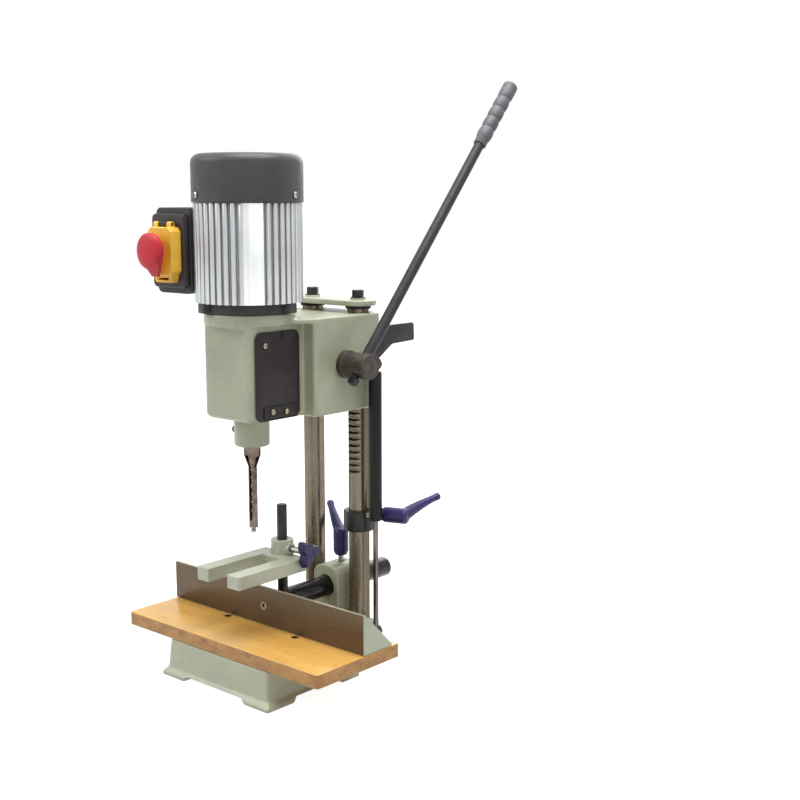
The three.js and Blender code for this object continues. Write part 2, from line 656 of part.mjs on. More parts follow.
function headHollows() {
  const ceiling = headTopZ - head.topWall;
  const noseRoom = prism("z", roundedOutline(
    [-head.noseHalfWidth + head.wall, head.noseHalfWidth - head.wall],
    [head.noseFrontY + head.wall, head.bodyFrontY],
    Array(4).fill(head.stepRadius)), head.bottomZ + head.floorWall, ceiling);
  const bodyRoom = prism("z", headOutline(head.bodyWall), head.bottomZ - overrun, ceiling);
  const hatch = block(
    [head.noseHalfWidth - head.wall - overrun, head.noseHalfWidth + overrun],
    [accessHole.frontY, accessHole.rearY], [accessHole.bottomZ, accessHole.topZ]);
  return joined(noseRoom, bodyRoom, hatch);
}

function headCasting() {
  let casting = headShell().subtract(headHollows());
  const ceiling = headTopZ - head.topWall;
  const guideRadius = column.radius + fit + head.guideWall;
  for (const side of [-1, 1]) {
    casting = casting.add(
      rod("z", guideRadius, head.bottomZ, ceiling + fit, [side * column.x, column.y], 28));
  }
  const gearRoom = rod(
    "x", pitchRadius + gear.module + gear.room, column.x - gear.width / 2 - gear.room,
    column.x + gear.width / 2 + gear.room,
    [feedY, feed.z], 28);
  const guide = rod("z", guideRadius + fit, head.bottomZ, ceiling, [column.x, column.y], 28);
  casting = casting.subtract(gearRoom.intersect(headHollows().add(guide)));
  for (const side of [-1, 1]) {
    casting = casting.subtract(
      rod("z", column.radius + fit, head.bottomZ - overrun, headTopZ + overrun,
        [side * column.x, column.y], 28));
  }
  casting = casting.subtract(
    rod("z", bearing.radius + bearing.room, ceiling - overrun, padTopZ + overrun, [0, 0], 28));
  casting = casting.subtract(
    rod("z", chisel.shankRadius + fit, collarBottomZ - overrun,
      head.bottomZ + head.floorWall + overrun, [0, 0], 24));
  casting = casting.subtract(
    rod("x", feed.shaftRadius + fit, -head.bodyHalfWidth - overrun, head.bodyHalfWidth + overrun,
      [feedY, feed.z], 24));
  const lockHole = rod(
    "x", lockScrew.radius + fit, -collar.radius - overrun, 0, [0, head.bottomZ - collar.lockDrop], 12);
  casting = casting.subtract(moved(lockHole, new THREE.Matrix4().makeRotationZ(lockScrew.heading)));
  for (const place of Object.values(coverScrewPlaces)) {
    casting = casting.subtract(rod(
      "x", coverScrew.shankRadius + fit,
      head.noseHalfWidth - head.wall - overrun, head.noseHalfWidth + overrun,
      [place.y, place.z], 10));
  }
  return casting.subtract(rod(
    "x", strut.boltRadius + fit, head.bodyHalfWidth - head.wall - overrun, head.bodyHalfWidth + overrun,
    [strut.y, strut.eyeZ], 14));
}

function chiselLockScrew() {
  const z = head.bottomZ - collar.lockDrop;
  const tipX = -(chisel.shankRadius + 2 * fit);
  const shank = rod("x", lockScrew.radius, -collar.radius - lockScrew.headLength / 2, tipX, [0, z], 14);
  const headEnd = -collar.radius - fit - lockScrew.headLength;
  const cap = rod("x", lockScrew.headRadius, headEnd, -collar.radius - fit, [0, z], 16);
  const screw = shank.add(cap)
    .subtract(socket("x", lockScrew.socket, headEnd - overrun, headEnd + lockScrew.headLength / 2, [0, z]));
  return moved(screw, new THREE.Matrix4().makeRotationZ(lockScrew.heading));
}

// Black cover on the chuck opening, with its raised lower panel
function accessCoverSolid() {
  const innerX = head.noseHalfWidth + fit;
  const outerX = innerX + accessCover.thickness;
  const outline = roundedOutline(
    [accessCover.frontY, accessCover.rearY], [accessCover.bottomZ, accessCover.topZ],
    Array(4).fill(accessCover.cornerRadius));
  let cover = prism("x", outline, innerX, outerX);
  cover = cover.subtract(block(
    [innerX - overrun, outerX + overrun], [accessCover.notchFrontY, accessCover.notchRearY],
    [accessCover.topZ - accessCover.notchDepth, accessCover.topZ + overrun]));
  const panel = prism("x", outline, outerX - fit, outerX + accessCover.panelStep).intersect(block(
    [innerX, outerX + overrun], [accessCover.frontY, accessCover.rearY],
    [accessCover.bottomZ, accessCover.panelZ]));
  cover = cover.add(panel);
  for (const place of Object.values(coverScrewPlaces)) {
    cover = cover.subtract(
      rod("x", coverScrew.shankRadius + fit, innerX - overrun, outerX + overrun, [place.y, place.z], 10));
  }
  return cover;
}

function coverScrewSolid(place) {
  const onPanel = place.z < accessCover.panelZ ? accessCover.panelStep : 0;
  const seatX = head.noseHalfWidth + fit + accessCover.thickness + onPanel + fit;
  const screw = turned("x", [
    [0, seatX - coverScrew.length], [coverScrew.shankRadius, seatX - coverScrew.length],
    [coverScrew.shankRadius, seatX],
    [coverScrew.headRadius, seatX], [coverScrew.headRadius / 2, seatX + coverScrew.headHeight],
    [0, seatX + coverScrew.headHeight],
  ], [place.y, place.z], 14);
  return screw;
}

// Hollow chisel with its slot, chip window and ground points
function hollowChisel() {
  const half = chisel.size / 2;
  const square = block([-half, half], [-half, half], [chisel.tipZ, chisel.squareTopZ + fit]);
  const shank = turned("z", [
    [0, chisel.squareTopZ], [half * chisel.neckShare, chisel.squareTopZ],
    [chisel.shankRadius, chisel.coneTopZ],
    [chisel.shankRadius, chisel.shankTopZ], [0, chisel.shankTopZ],
  ], [0, 0], 24);
  let body = joined(square, shank);
  body = body.subtract(
    rod("z", chisel.bore / 2, chisel.tipZ - overrun, chisel.shankTopZ + overrun, [0, 0], 20));
  const ground = turned("z", [
    [0, chisel.tipZ - overrun], [half * Math.SQRT2 + overrun, chisel.tipZ - overrun],
    [chisel.bore / 2, chisel.tipZ + chisel.pointHeight / 2],
    [0, chisel.tipZ + chisel.pointHeight / 2],
  ], [0, 0], 20);
  body = body.subtract(ground);
  body = body.subtract(block(
    [-chisel.slotWidth / 2, chisel.slotWidth / 2], [-chisel.shankRadius - overrun, 0],
    [chisel.slotBottomZ, chisel.slotTopZ]));
  const mouth = block(
    [-chisel.mouthWidth / 2, chisel.mouthWidth / 2], [-chisel.shankRadius - overrun, -chisel.bore / 2],
    [chisel.mouthBottomZ, chisel.mouthTopZ]);
  const window = block(
    [0, chisel.shankRadius + overrun], [-chisel.windowWidth / 2, chisel.windowWidth / 2],
    [chisel.windowBottomZ, chisel.windowTopZ]);
  return body.subtract(mouth).subtract(window);
}

// Auger bit: a flat web twisted into flutes under a round shank
function augerBit() {
  const fluteBottomZ = auger.tipZ + auger.spurHeight + auger.headHeight - fit;
  const turns = (auger.fluteTopZ - fluteBottomZ) / auger.pitch;
  const stepsPerTurn = 14;
  const levels = Math.ceil(turns * stepsPerTurn);
  const section = [
    [-auger.radius, -auger.web], [auger.radius, -auger.web], [auger.radius, auger.web],
    [-auger.radius, auger.web]];
  const sections = Array.from({ length: levels + 1 }, (_, level) => {
    const angle = 2 * Math.PI * turns * level / levels;
    const turn = ([x, y]) => [
      x * Math.cos(angle) - y * Math.sin(angle), x * Math.sin(angle) + y * Math.cos(angle)];
    return {
      outline: section.map(turn), z: fluteBottomZ + (auger.fluteTopZ - fluteBottomZ) * level / levels,
    };
  });
  const cuttingHead = turned("z", [
    [0, auger.tipZ], [auger.headRadius / 2, auger.tipZ + auger.spurHeight / 2],
    [auger.headRadius, auger.tipZ + auger.spurHeight],
    [auger.headRadius, auger.tipZ + auger.spurHeight + auger.headHeight],
    [0, auger.tipZ + auger.spurHeight + auger.headHeight],
  ], [0, 0], 12);
  const shank = rod(
    "z", auger.shankRadius, auger.fluteTopZ - fit, chuckTopZ - chuck.shaftDepth - 2 * fit, [0, 0], 12);
  return joined(loft(sections), cuttingHead, shank);
}

function drillChuck() {
  const bodyLowZ = chuckTopZ - chuck.bodyHeight;
  const noseLowZ = bodyLowZ - chuck.noseHeight;
  const solid = turned("z", [
    [0, noseLowZ], [chuck.noseRadius, noseLowZ], [chuck.radius, bodyLowZ], [chuck.radius, chuckTopZ],
    [0, chuckTopZ],
  ], [0, 0], 28);
  return solid
    .subtract(
      rod("z", auger.shankRadius + fit, noseLowZ - overrun, chuckTopZ - chuck.shaftDepth, [0, 0], 12))
    .subtract(
      rod("z", shaft.radius + fit, chuckTopZ - chuck.shaftDepth, chuckTopZ + overrun, [0, 0], 20));
}

// Motor shields, finned body and what turns inside
function endShield() {
  const topZ = motorZ + motor.shieldHeight;
  let shield = rod("z", motor.shieldRadius, motorZ, topZ, [0, 0], 36);
  for (let ear = 0; ear < motor.ears; ear += 1) {
    const angle = motor.earHeading + ear * 2 * Math.PI / motor.ears;
    const lug = block([0, motor.earReach], [-motor.earWidth / 2, motor.earWidth / 2], [motorZ + fit, topZ]);
    shield = shield.add(moved(lug, new THREE.Matrix4().makeRotationZ(angle)));
  }
  const seatZ = motorZ + motor.shieldHeight - bearing.height;
  return shield
    .subtract(rod("z", bearing.radius + fit, seatZ, topZ + overrun, [0, 0], 28))
    .subtract(rod("z", bearing.radius - bearing.lip, motorZ - overrun, seatZ + overrun, [0, 0], 24));
}

function finnedOutline() {
  const quarter = Math.PI / 2;
  const span = (quarter - motor.padWidthAngle) / motor.finsPerQuarter;
  const grooveHalf = span * (1 - motor.finShare) / 2;
  const outline = [];
  const at = (radius, angle) => outline.push([radius * Math.cos(angle), radius * Math.sin(angle)]);
  for (let side = 0; side < 4; side += 1) {
    const padStart = (side + 1 / 2) * quarter + motor.padHeading - motor.padWidthAngle / 2;
    at(motor.finRadius, padStart + motor.padWidthAngle / 2);
    for (let fin = 0; fin < motor.finsPerQuarter; fin += 1) {
      const middle = padStart + motor.padWidthAngle + (fin + 1 / 2) * span;
      at(motor.finRadius, middle - grooveHalf);
      at(motor.coreRadius, middle - grooveHalf);
      at(motor.coreRadius, middle + grooveHalf);
      at(motor.finRadius, middle + grooveHalf);
    }
  }
  return outline;
}

function motorBody() {
  return prism("z", finnedOutline(), motorBodyZ, motorBodyTopZ)
    .subtract(rod("z", motor.innerRadius, motorBodyZ - overrun, motorBodyTopZ + overrun, [0, 0], 40));
}

function topShield() {
  const z = coverZ;
  return rod("z", motor.coverRadius - motor.coverWall - fit, z, z + motor.topShieldHeight, [0, 0], 40)
    .subtract(rod("z", bearing.radius + fit, z - overrun, z + bearing.height, [0, 0], 28))
    .subtract(rod("z", bearing.radius - bearing.lip, z, z + motor.topShieldHeight + overrun, [0, 0], 24))
    .subtract(coverScrewHoles());
}

function coverScrewHoles() {
  const hole = rod(
    "x", coverScrew.shankRadius + fit, motor.coverRadius - 2 * coverScrew.length,
    motor.coverRadius + overrun, [0, coverZ + motor.coverScrewRise], 10);
  return joined(
    ...fanCoverScrewAngles.map((angle) => moved(hole, new THREE.Matrix4().makeRotationZ(angle))));
}

function fanCover() {
  const outer = motor.coverRadius;
  const inner = outer - motor.coverWall;
  const topZ = coverZ + motor.coverHeight;
  const bend = (radius, share) => [
    radius - motor.coverEdge * (1 - Math.cos(share * Math.PI / 2)),
    topZ - (outer - radius) - motor.coverEdgeHeight * (1 - Math.sin(share * Math.PI / 2))];
  const bendShares = [0, 0.33, 0.67, 1];
  const profile = [
    [0, topZ - motor.coverWall], ...bendShares.map((share) => bend(inner, share))
      .reverse(), [inner, coverZ],
    [outer, coverZ], ...bendShares.map((share) => bend(outer, share)), [0, topZ],
  ];
  let cover = turned("z", profile, [0, 0], 36);
  for (let vent = 0; vent < motor.ventCount; vent += 1) {
    const slot = block(
      [motor.ventInner, motor.ventOuter], [-motor.ventWidth / 2, motor.ventWidth / 2],
      [topZ - motor.coverWall - overrun, topZ + overrun]);
    cover = cover.subtract(
      moved(slot, new THREE.Matrix4().makeRotationZ(vent * 2 * Math.PI / motor.ventCount)));
  }
  return cover.subtract(coverScrewHoles());
}

function fanCoverScrew() {
  const seat = motor.coverRadius + fit;
  return turned("x", [
    [0, seat - coverScrew.length], [coverScrew.shankRadius, seat - coverScrew.length],
    [coverScrew.shankRadius, seat],
    [motor.coverScrewHead, seat], [motor.coverScrewHead / 2, seat + coverScrew.headHeight],
    [0, seat + coverScrew.headHeight],
  ], [0, 0], 14);
}

function statorSolid() {
  const low = motorBodyZ + rotorCore.rise;
  const high = low + rotorCore.height;
  return turned("z", [
    [stator.innerRadius, low], [stator.windingInner, low - stator.windingRise],
    [stator.windingOuter, low - stator.windingRise],
    [motor.innerRadius - fit, low], [motor.innerRadius - fit, high],
    [stator.windingOuter, high + stator.windingRise],
    [stator.windingInner, high + stator.windingRise], [stator.innerRadius, high], [stator.innerRadius, low],
  ], [0, 0], 24);
}

function rotorShaft() {
  const low = motorBodyZ + rotorCore.rise;
  const high = low + rotorCore.height;
  const bottomZ = chuckTopZ - chuck.shaftDepth + fit;
  const topZ = coverZ + shaft.topRise - fan.plate;
  return turned("z", [
    [0, bottomZ], [shaft.radius, bottomZ], [shaft.radius, low], [rotorCore.radius, low],
    [rotorCore.radius, high],
    [shaft.radius, high], [shaft.radius, topZ], [0, topZ],
  ], [0, 0], 24);
}

function coolingFan() {
  const z = coverZ + fan.rise;
  let wheel = joined(
    rod("z", fan.radius, z, z + fan.plate, [0, 0], 28),
    rod("z", fan.hubRadius, z, z + fan.height, [0, 0], 20));
  for (let blade = 0; blade < fan.blades; blade += 1) {
    const vane = block(
      [fan.hubRadius - fit, fan.radius - fit], [-fan.bladeThickness / 2, fan.bladeThickness / 2],
      [z + fit, z + fan.height]);
    wheel = wheel.add(moved(vane, new THREE.Matrix4().makeRotationZ(blade * 2 * Math.PI / fan.blades)));
  }
  return wheel.subtract(rod("z", shaft.radius + fit, z - overrun, z + fan.height + overrun, [0, 0], 20));
}

function buildMotor(headGroup) {
  addPart(headGroup, "motor_end_shield", endShield(), blackPlastic);
  addPart(headGroup, "motor_body", motorBody(), castAluminium);
  addPart(headGroup, "motor_top_shield", topShield(), castAluminium);
  addPart(headGroup, "fan_cover", fanCover(), coverPlastic);
  const screwNames = ["fan_cover_screw_right", "fan_cover_screw_left"];
  fanCoverScrewAngles.forEach((angle, order) => {
    const screwGroup = subGroup(headGroup, 0, 0, coverZ + motor.coverScrewRise);
    screwGroup.rotation.z = angle;
    addPart(screwGroup, screwNames[order], fanCoverScrew(), brightSteel);
  });
  addPart(headGroup, "motor_stator", statorSolid(), laminations);
  const lowSeat = motorZ + motor.shieldHeight - bearing.height + fit;
  addPart(
    headGroup, "bearing_lower",
    ring("z", bearing.radius, bearing.bore, lowSeat, lowSeat + bearing.height - 2 * fit, [0, 0], 24),
    brightSteel);
  addPart(
    headGroup, "bearing_upper",
    ring("z", bearing.radius, bearing.bore, coverZ + fit, coverZ + bearing.height - fit, [0, 0], 24),
    brightSteel);
  addPart(headGroup, "rotor_shaft", rotorShaft(), brightSteel);
  addPart(headGroup, "cooling_fan", coolingFan(), blackPlastic);
  addPart(headGroup, "drill_chuck", drillChuck(), blackSteel);
  addPart(headGroup, "auger_bit", augerBit(), chiselSteel);
}

// Switch housing on the motor's left flank, with its flap, paddle and buttons
function switchHousing() {
  const x = [switchBox.middleX - switchBox.width / 2, switchBox.middleX + switchBox.width / 2];
  const z = [switchBox.middleZ - switchBox.height / 2, switchBox.middleZ + switchBox.height / 2];
  const outline = roundedOutline(x, z, Array(4).fill(switchBox.cornerRadius));
  const inner = roundedOutline(
    [x[0] + switchBox.rim, -motor.finRadius - switchBox.wall],
    [z[0] + switchBox.rim, z[1] - switchBox.rim],
    Array(4).fill(switchBox.wall));
  let housing = prism("y", outline, switchBox.frontY, switchBox.rearY)
    .subtract(prism("y", inner, switchBox.frontY - overrun, switchBox.rearY - switchBox.wall))
    .subtract(rod("z", motor.finRadius + fit, z[0] - overrun, z[1] + overrun, [0, 0], 48));
  for (const buttonZ of [button.startZ, button.stopZ]) {
    housing = housing.subtract(rod(
      "y", button.radius + fit, switchBox.frontY - overrun, switchBox.frontY + button.depth,
      [flap.middleX, buttonZ], 20));
  }
  return housing;
}

function switchPlate() {
  const x = [switchBox.middleX - switchBox.plateWidth / 2, switchBox.middleX + switchBox.plateWidth / 2];
  const z = [switchBox.middleZ - switchBox.plateHeight / 2, switchBox.middleZ + switchBox.plateHeight / 2];
  const outline = roundedOutline(x, z, Array(4).fill(switchBox.plateCorner));
  let plate = prism("y", outline, plateFrontY, plateFrontY + switchBox.plateThickness);
  const stand = block(
    [flap.middleX - flap.standWidth / 2, flap.middleX + flap.standWidth / 2],
    [hingeY - flap.pinRadius, plateFrontY + fit],
    [hingeZ - flap.standHalfHeight, hingeZ + flap.standHalfHeight]);
  const pin = rod(
    "x", flap.pinRadius, flap.middleX - flap.pinHalf, flap.middleX + flap.pinHalf, [hingeY, hingeZ], 10);
  plate = plate.add(stand).add(pin);
  for (const z of [button.startZ, button.stopZ]) {
    plate = plate.subtract(rod(
      "y", button.radius + fit, plateFrontY - overrun, plateFrontY + switchBox.plateThickness + overrun,
      [flap.middleX, z], 20));
  }
  return plate;
}

function switchFlap() {
  const front = plateFrontY - fit - flap.depth;
  const rear = plateFrontY - fit;
  const bottomZ = flap.topZ - flap.height;
  const half = flap.width / 2;
  const x = flap.middleX;
  const cut = flap.cornerCut;
  const outline = [
    [x - half + cut, bottomZ], [x + half - cut, bottomZ], [x + half, bottomZ + cut],
    [x + half, flap.topZ - cut],
    [x + half - cut, flap.topZ], [x - half + cut, flap.topZ], [x - half, flap.topZ - cut],
    [x - half, bottomZ + cut],
  ];
  const shrink = (value, middle) => middle + (value - middle) * (1 - flap.wall / half);
  const inner = outline.map(([u, v]) => [shrink(u, x), shrink(v, (bottomZ + flap.topZ) / 2)]);
  let shell = prism("y", outline, front, rear)
    .subtract(prism("y", inner, front + flap.wall, rear + overrun));
  for (const side of [-1, 1]) {
    const lugX = [x + side * flap.lugX - flap.lugWidth / 2, x + side * flap.lugX + flap.lugWidth / 2];
    const lug = block(
      lugX, [hingeY - flap.lugRadius, hingeY + flap.lugRadius], [flap.topZ - flap.wall, hingeZ]);
    shell = joined(shell, lug, rod("x", flap.lugRadius, ...lugX, [hingeY, hingeZ], 16));
  }
  const latchHalf = flap.latchWidth / 2;
  const latch = prism("y", [
    [x - latchHalf + flap.latchTaper, bottomZ - flap.latchDrop],
    [x + latchHalf - flap.latchTaper, bottomZ - flap.latchDrop],
    [x + latchHalf - fit, bottomZ + fit], [x - latchHalf + fit, bottomZ + fit],
  ], rear - flap.latchDepth, rear);
  const latchGap = block(
    [x - flap.latchGapWidth / 2, x + flap.latchGapWidth / 2],
    [rear - flap.latchDepth - overrun, rear + overrun],
    [bottomZ - flap.latchDrop + flap.latchGapHeight, bottomZ - flap.latchDrop + 2 * flap.latchGapHeight]);
  shell = shell.add(latch).subtract(latchGap);
  shell = shell.subtract(rod("x", flap.lugHole, x - half, x + half, [hingeY, hingeZ], 12));
  return shell.subtract(
    rod("y", paddle.pusherRadius + fit, front - overrun, front + flap.wall + overrun,
      [x, paddle.pusherZ], 16));
}

function stopPaddle() {
  const flapFront = plateFrontY - fit - flap.depth;
  const rear = flapFront - paddle.lift;
  const x = flap.middleX;
  const disc = turned("y", [
    [0, rear - paddle.rimThickness - paddle.dome],
    [paddle.radius / 2, rear - paddle.rimThickness - paddle.dome * paddle.domeShare],
    [paddle.radius - paddle.dome, rear - paddle.rimThickness],
    [paddle.radius, rear - paddle.rimThickness / 2],
    [paddle.radius, rear], [0, rear],
  ], [x, paddle.middleZ], 28);
  const tailSection = (halfWidth, front, back, z) => ({
    outline: roundedOutline([x - halfWidth, x + halfWidth], [front, back], Array(4).fill(fit), 1), z,
  });
  const tail = loft([
    tailSection(
      paddle.tailWidth / 2, rear + paddle.tailBack - paddle.tailThickness, rear + paddle.tailBack,
      paddle.tailBottomZ),
    tailSection(paddle.tailTopHalf, rear - paddle.rimThickness / 2, rear, paddle.tailTopZ),
  ]);
  const pusherEnd = plateFrontY - button.stand - fit;
  return joined(disc, tail, rod("y", paddle.pusherRadius, rear - fit, pusherEnd, [x, paddle.pusherZ], 16));
}

function pushButton(z) {
  const face = plateFrontY - button.stand;
  return turned("y", [
    [0, face], [button.radius - button.edge, face], [button.radius, face + button.edge],
    [button.radius, face + button.depth], [0, face + button.depth],
  ], [flap.middleX, z], 20);
}

function buildSwitch(headGroup) {
  addPart(headGroup, "switch_box", switchHousing(), blackPlastic);
  addPart(headGroup, "switch_plate", switchPlate(), blackPlastic);
  addPart(headGroup, "switch_flap", switchFlap(), yellowPlastic);
  addPart(headGroup, "stop_paddle", stopPaddle(), redPlastic);
  addPart(headGroup, "start_button", pushButton(button.startZ), greenPlastic);
  addPart(headGroup, "stop_button", pushButton(button.stopZ), redPlastic);
}

// Feed: pinion shaft, hub, lever and grip, built round the shaft's axis
function pinionOutline() {
  const baseRadius = pitchRadius * Math.cos(gear.pressureAngle);
  const rootRadius = pitchRadius - gear.rootShare * gear.module;
  const tipRadius = pitchRadius + gear.module - gear.tipCut;
  const involute = (radius) => {
    const angle = Math.acos(Math.min(1, baseRadius / radius));
    return Math.tan(angle) - angle;
  };
  const pitchHalf = (Math.PI * gear.module / 2 - gear.backlash / 2) / 2 / pitchRadius;
  const flankShares = [0, 0.45, 1];
  const flank = flankShares.map((share) => {
    const radius = baseRadius + (tipRadius - baseRadius) * share;
    return [radius, pitchHalf + involute(pitchRadius) - involute(radius)];
  });
  const tooth = [[rootRadius, flank[0][1] * gear.rootWidthShare], ...flank];
  const outline = [];
  for (let step = 0; step < gear.teeth; step += 1) {
    const middle = 2 * Math.PI * step / gear.teeth;
    tooth.forEach(
      ([radius, half]) => outline.push([radius * Math.cos(middle - half), radius * Math.sin(middle - half)]));
    [...tooth].reverse().forEach(([radius, half]) =>
      outline.push([radius * Math.cos(middle + half), radius * Math.sin(middle + half)]));
  }
  return outline;
}

function pinionShaft() {
  const wheel = prism("x", pinionOutline(), column.x - gear.width / 2, column.x + gear.width / 2);
  const bar = rod("x", feed.shaftRadius, -head.bodyHalfWidth + fit, hubEndX - feed.rimWidth, [0, 0], 24);
  return wheel.add(bar);
}

function feedHub() {
  const hub = turned("x", [
    [feed.shaftRadius + fit, hubStartX], [feed.flangeRadius, hubStartX],
    [feed.flangeRadius, hubStartX + feed.flangeWidth],
    [feed.hubRadius, hubStartX + feed.flangeWidth + fit], [feed.hubRadius, hubEndX - feed.hubEdge],
    [feed.hubRadius - feed.hubEdge, hubEndX], [0, hubEndX], [0, hubEndX - feed.rimWidth + fit],
    [feed.shaftRadius + fit, hubEndX - feed.rimWidth + fit], [feed.shaftRadius + fit, hubStartX],
  ], [0, 0], 28);
  const leverHole = rod("z", feed.leverRadius + fit, 0, feed.flangeRadius + overrun, [feed.leverX, 0], 20);
  const screwHole = rod("z", feed.screwRadius + fit, -feed.flangeRadius - overrun, 0, [feed.leverX, 0], 14);
  return hub.subtract(leverHole).subtract(screwHole);
}

function hubSetScrew() {
  const tip = -feed.shaftRadius - fit;
  const seat = -feed.hubRadius - feed.screwStand;
  const half = feed.screwHead / 2;
  return joined(
    rod("z", feed.screwRadius, seat - fit, tip, [feed.leverX, 0], 14),
    block([feed.leverX - half, feed.leverX + half], [-half, half], [seat - feed.screwHeadHeight, seat]));
}

function feedLever() {
  return rod(
    "z", feed.leverRadius, feed.shaftRadius + fit, feed.leverLength - (feed.gripLength - feed.gripOverlap),
    [feed.leverX, 0], 20);
}

function leverGrip() {
  const bottom = feed.leverLength - feed.gripLength;
  const wall = feed.leverLength - (feed.gripLength - feed.gripOverlap) + fit;
  const waist = feed.gripRadius - feed.gripWaist;
  const swellShares = [0.3, 0.7];
  const profile = [[feed.leverRadius + fit, bottom], [waist, bottom]];
  for (let rib = 0; rib < feed.gripRibs; rib += 1) {
    const start = bottom + feed.gripFoot + rib * feed.ribPitch;
    profile.push([waist, start]);
    swellShares.forEach((share) => profile.push([feed.gripRadius, start + share * feed.ribPitch]));
  }
  const bulb = bottom + feed.gripFoot + feed.gripRibs * feed.ribPitch;
  const end = feed.leverLength;
  const bulbShares = [0.3, 0.85];
  profile.push([waist, bulb]);
  bulbShares.forEach((share) => profile.push([feed.gripRadius, bulb + share * (end - bulb)]));
  profile.push([feed.gripRadius / 2, end], [0, end], [0, wall], [feed.leverRadius + fit, wall]);
  profile.push([feed.leverRadius + fit, bottom]);
  return turned("z", profile, [feed.leverX, 0], 16);
}

function buildFeed(headGroup) {
  const feedGroup = subGroup(headGroup, 0, feedY, feed.z);
  addPart(feedGroup, "pinion_shaft", pinionShaft(), groundSteel);
  const leverGroup = subGroup(feedGroup);
  leverGroup.rotation.x = -feed.leverLean;
  addPart(leverGroup, "feed_hub", feedHub(), blackSteel);
  addPart(leverGroup, "hub_set_screw", hubSetScrew(), blackSteel);
  addPart(leverGroup, "feed_lever", feedLever(), blackSteel);
  addPart(leverGroup, "lever_grip", leverGrip(), coverPlastic);
}

// Gas strut between the head's bracket and the base's lug
function strutEye(z) {
  const half = strut.eyeWidth / 2;
  return rod("x", strut.eyeRadius, strut.x - half, strut.x + half, [strut.y, z], 20);
}

function strutBoltHole(z) {
  const half = strut.eyeWidth / 2;
  return rod(
    "x", strut.boltRadius + fit, strut.x - half - overrun, strut.x + half + overrun, [strut.y, z], 16);
}

function strutTube() {
  const place = [strut.x, strut.y];
  const tube = turned("z", [
    [strut.rodRadius + fit, strut.tubeBottomZ], [strut.tubeRadius, strut.tubeBottomZ],
    [strut.tubeRadius, strut.tubeTopZ],
    [0, strut.tubeTopZ], [0, strut.tubeTopZ - strut.gland], [strut.tubeBore, strut.tubeTopZ - strut.gland],
    [strut.tubeBore, strut.tubeBottomZ + strut.gland],
    [strut.rodRadius + fit, strut.tubeBottomZ + strut.gland],
    [strut.rodRadius + fit, strut.tubeBottomZ],
  ], place, 24);
  const neck = rod("z", strut.neckRadius, strut.tubeTopZ - fit, strut.eyeZ, place, 16);
  return joined(tube, neck, strutEye(strut.eyeZ)).subtract(strutBoltHole(strut.eyeZ));
}

function strutRod() {
  const place = [strut.x, strut.y];
  const topZ = strut.tubeBottomZ + strut.rodInside;
  const bar = rod("z", strut.rodRadius, strutRodBottomZ + strut.boltRadius + overrun, topZ, place, 16);
  const piston = rod("z", strut.tubeBore - fit, topZ - strut.pistonHeight, topZ, place, 20);
  return joined(bar, piston, strutEye(strutRodBottomZ)).subtract(strutBoltHole(strutRodBottomZ));
}

function strutBolt(startX, z) {
  const seat = strut.x + strut.eyeWidth / 2 + fit;
  return joined(
    rod("x", strut.boltRadius, startX, seat + fit, [strut.y, z], 14),
    rod("x", strut.boltHead, seat, seat + strut.boltHeadHeight, [strut.y, z], 6));
}

function strutBracketSolid() {
  const from = head.bodyHalfWidth + fit;
  const to = from + strutBracket.thickness;
  const o = strutBracketOutline;
  const arm = prism("x", [
    [strut.y, strut.eyeZ - strutBracket.lobeRadius], [o.armRearY, o.armRearZ], [o.kneeRearY, o.kneeBottomZ],
    [o.tailBottomY, o.tailBottomZ], [o.tailRearY, o.tailTopZ], [o.kneeFrontY, o.kneeTopZ],
    [o.armFrontY, o.armFrontZ],
    [strut.y, strut.eyeZ + strutBracket.lobeRadius],
  ], from, to);
  const lobe = rod("x", strutBracket.lobeRadius, from, to, [strut.y, strut.eyeZ], 24);
  return arm.add(lobe)
    .subtract(rod("x", strut.boltRadius + fit, from - overrun, to + overrun, [strut.y, strut.eyeZ], 16));
}

// Fence with its slide bar and screw
function fenceSolid() {
  const half = table.width / 2;
  const plate = block([-half, half], [fence.frontY, fenceRearY], [fence.lift, fence.height]);
  const flange = block(
    [-half, half], [fenceRearY - fit, fenceRearY + fence.gussetDepth],
    [fence.lift, fence.lift + fence.flangeThickness]);
  const gusset = [
    [fenceRearY - fit, fence.lift], [fenceRearY + fence.gussetDepth, fence.lift],
    [fenceRearY + fence.gussetDepth, fence.lift + fence.flangeThickness],
    [fenceRearY - fit, fence.height],
  ];
  const left = prism("x", gusset, -half, -half + fence.gussetThickness);
  const right = prism("x", gusset, half - fence.gussetThickness, half);
  const hole = countersunk(
    "y", fenceScrew.headRadius + fit, fenceScrew.headDepth + fit, fenceScrew.shankRadius + fit,
    fence.thickness + overrun, overrun, [0, 0]);
  const turn = new THREE.Matrix4().makeRotationZ(Math.PI).setPosition(0, fence.frontY, fenceBar.z);
  return joined(plate, flange, left, right).subtract(moved(hole, turn));
}

function fenceScrewSolid() {
  const screw = turned("y", [
    [0, fit], [fenceScrew.headRadius, fit], [fenceScrew.shankRadius, fit + fenceScrew.headDepth],
    [fenceScrew.shankRadius, fenceScrew.length], [0, fenceScrew.length],
  ], [0, 0], 20).subtract(socket("y", fenceScrew.socket, -overrun, fit + fenceScrew.socketDepth));
  return moved(screw, new THREE.Matrix4().setPosition(0, fence.frontY, fenceBar.z));
}

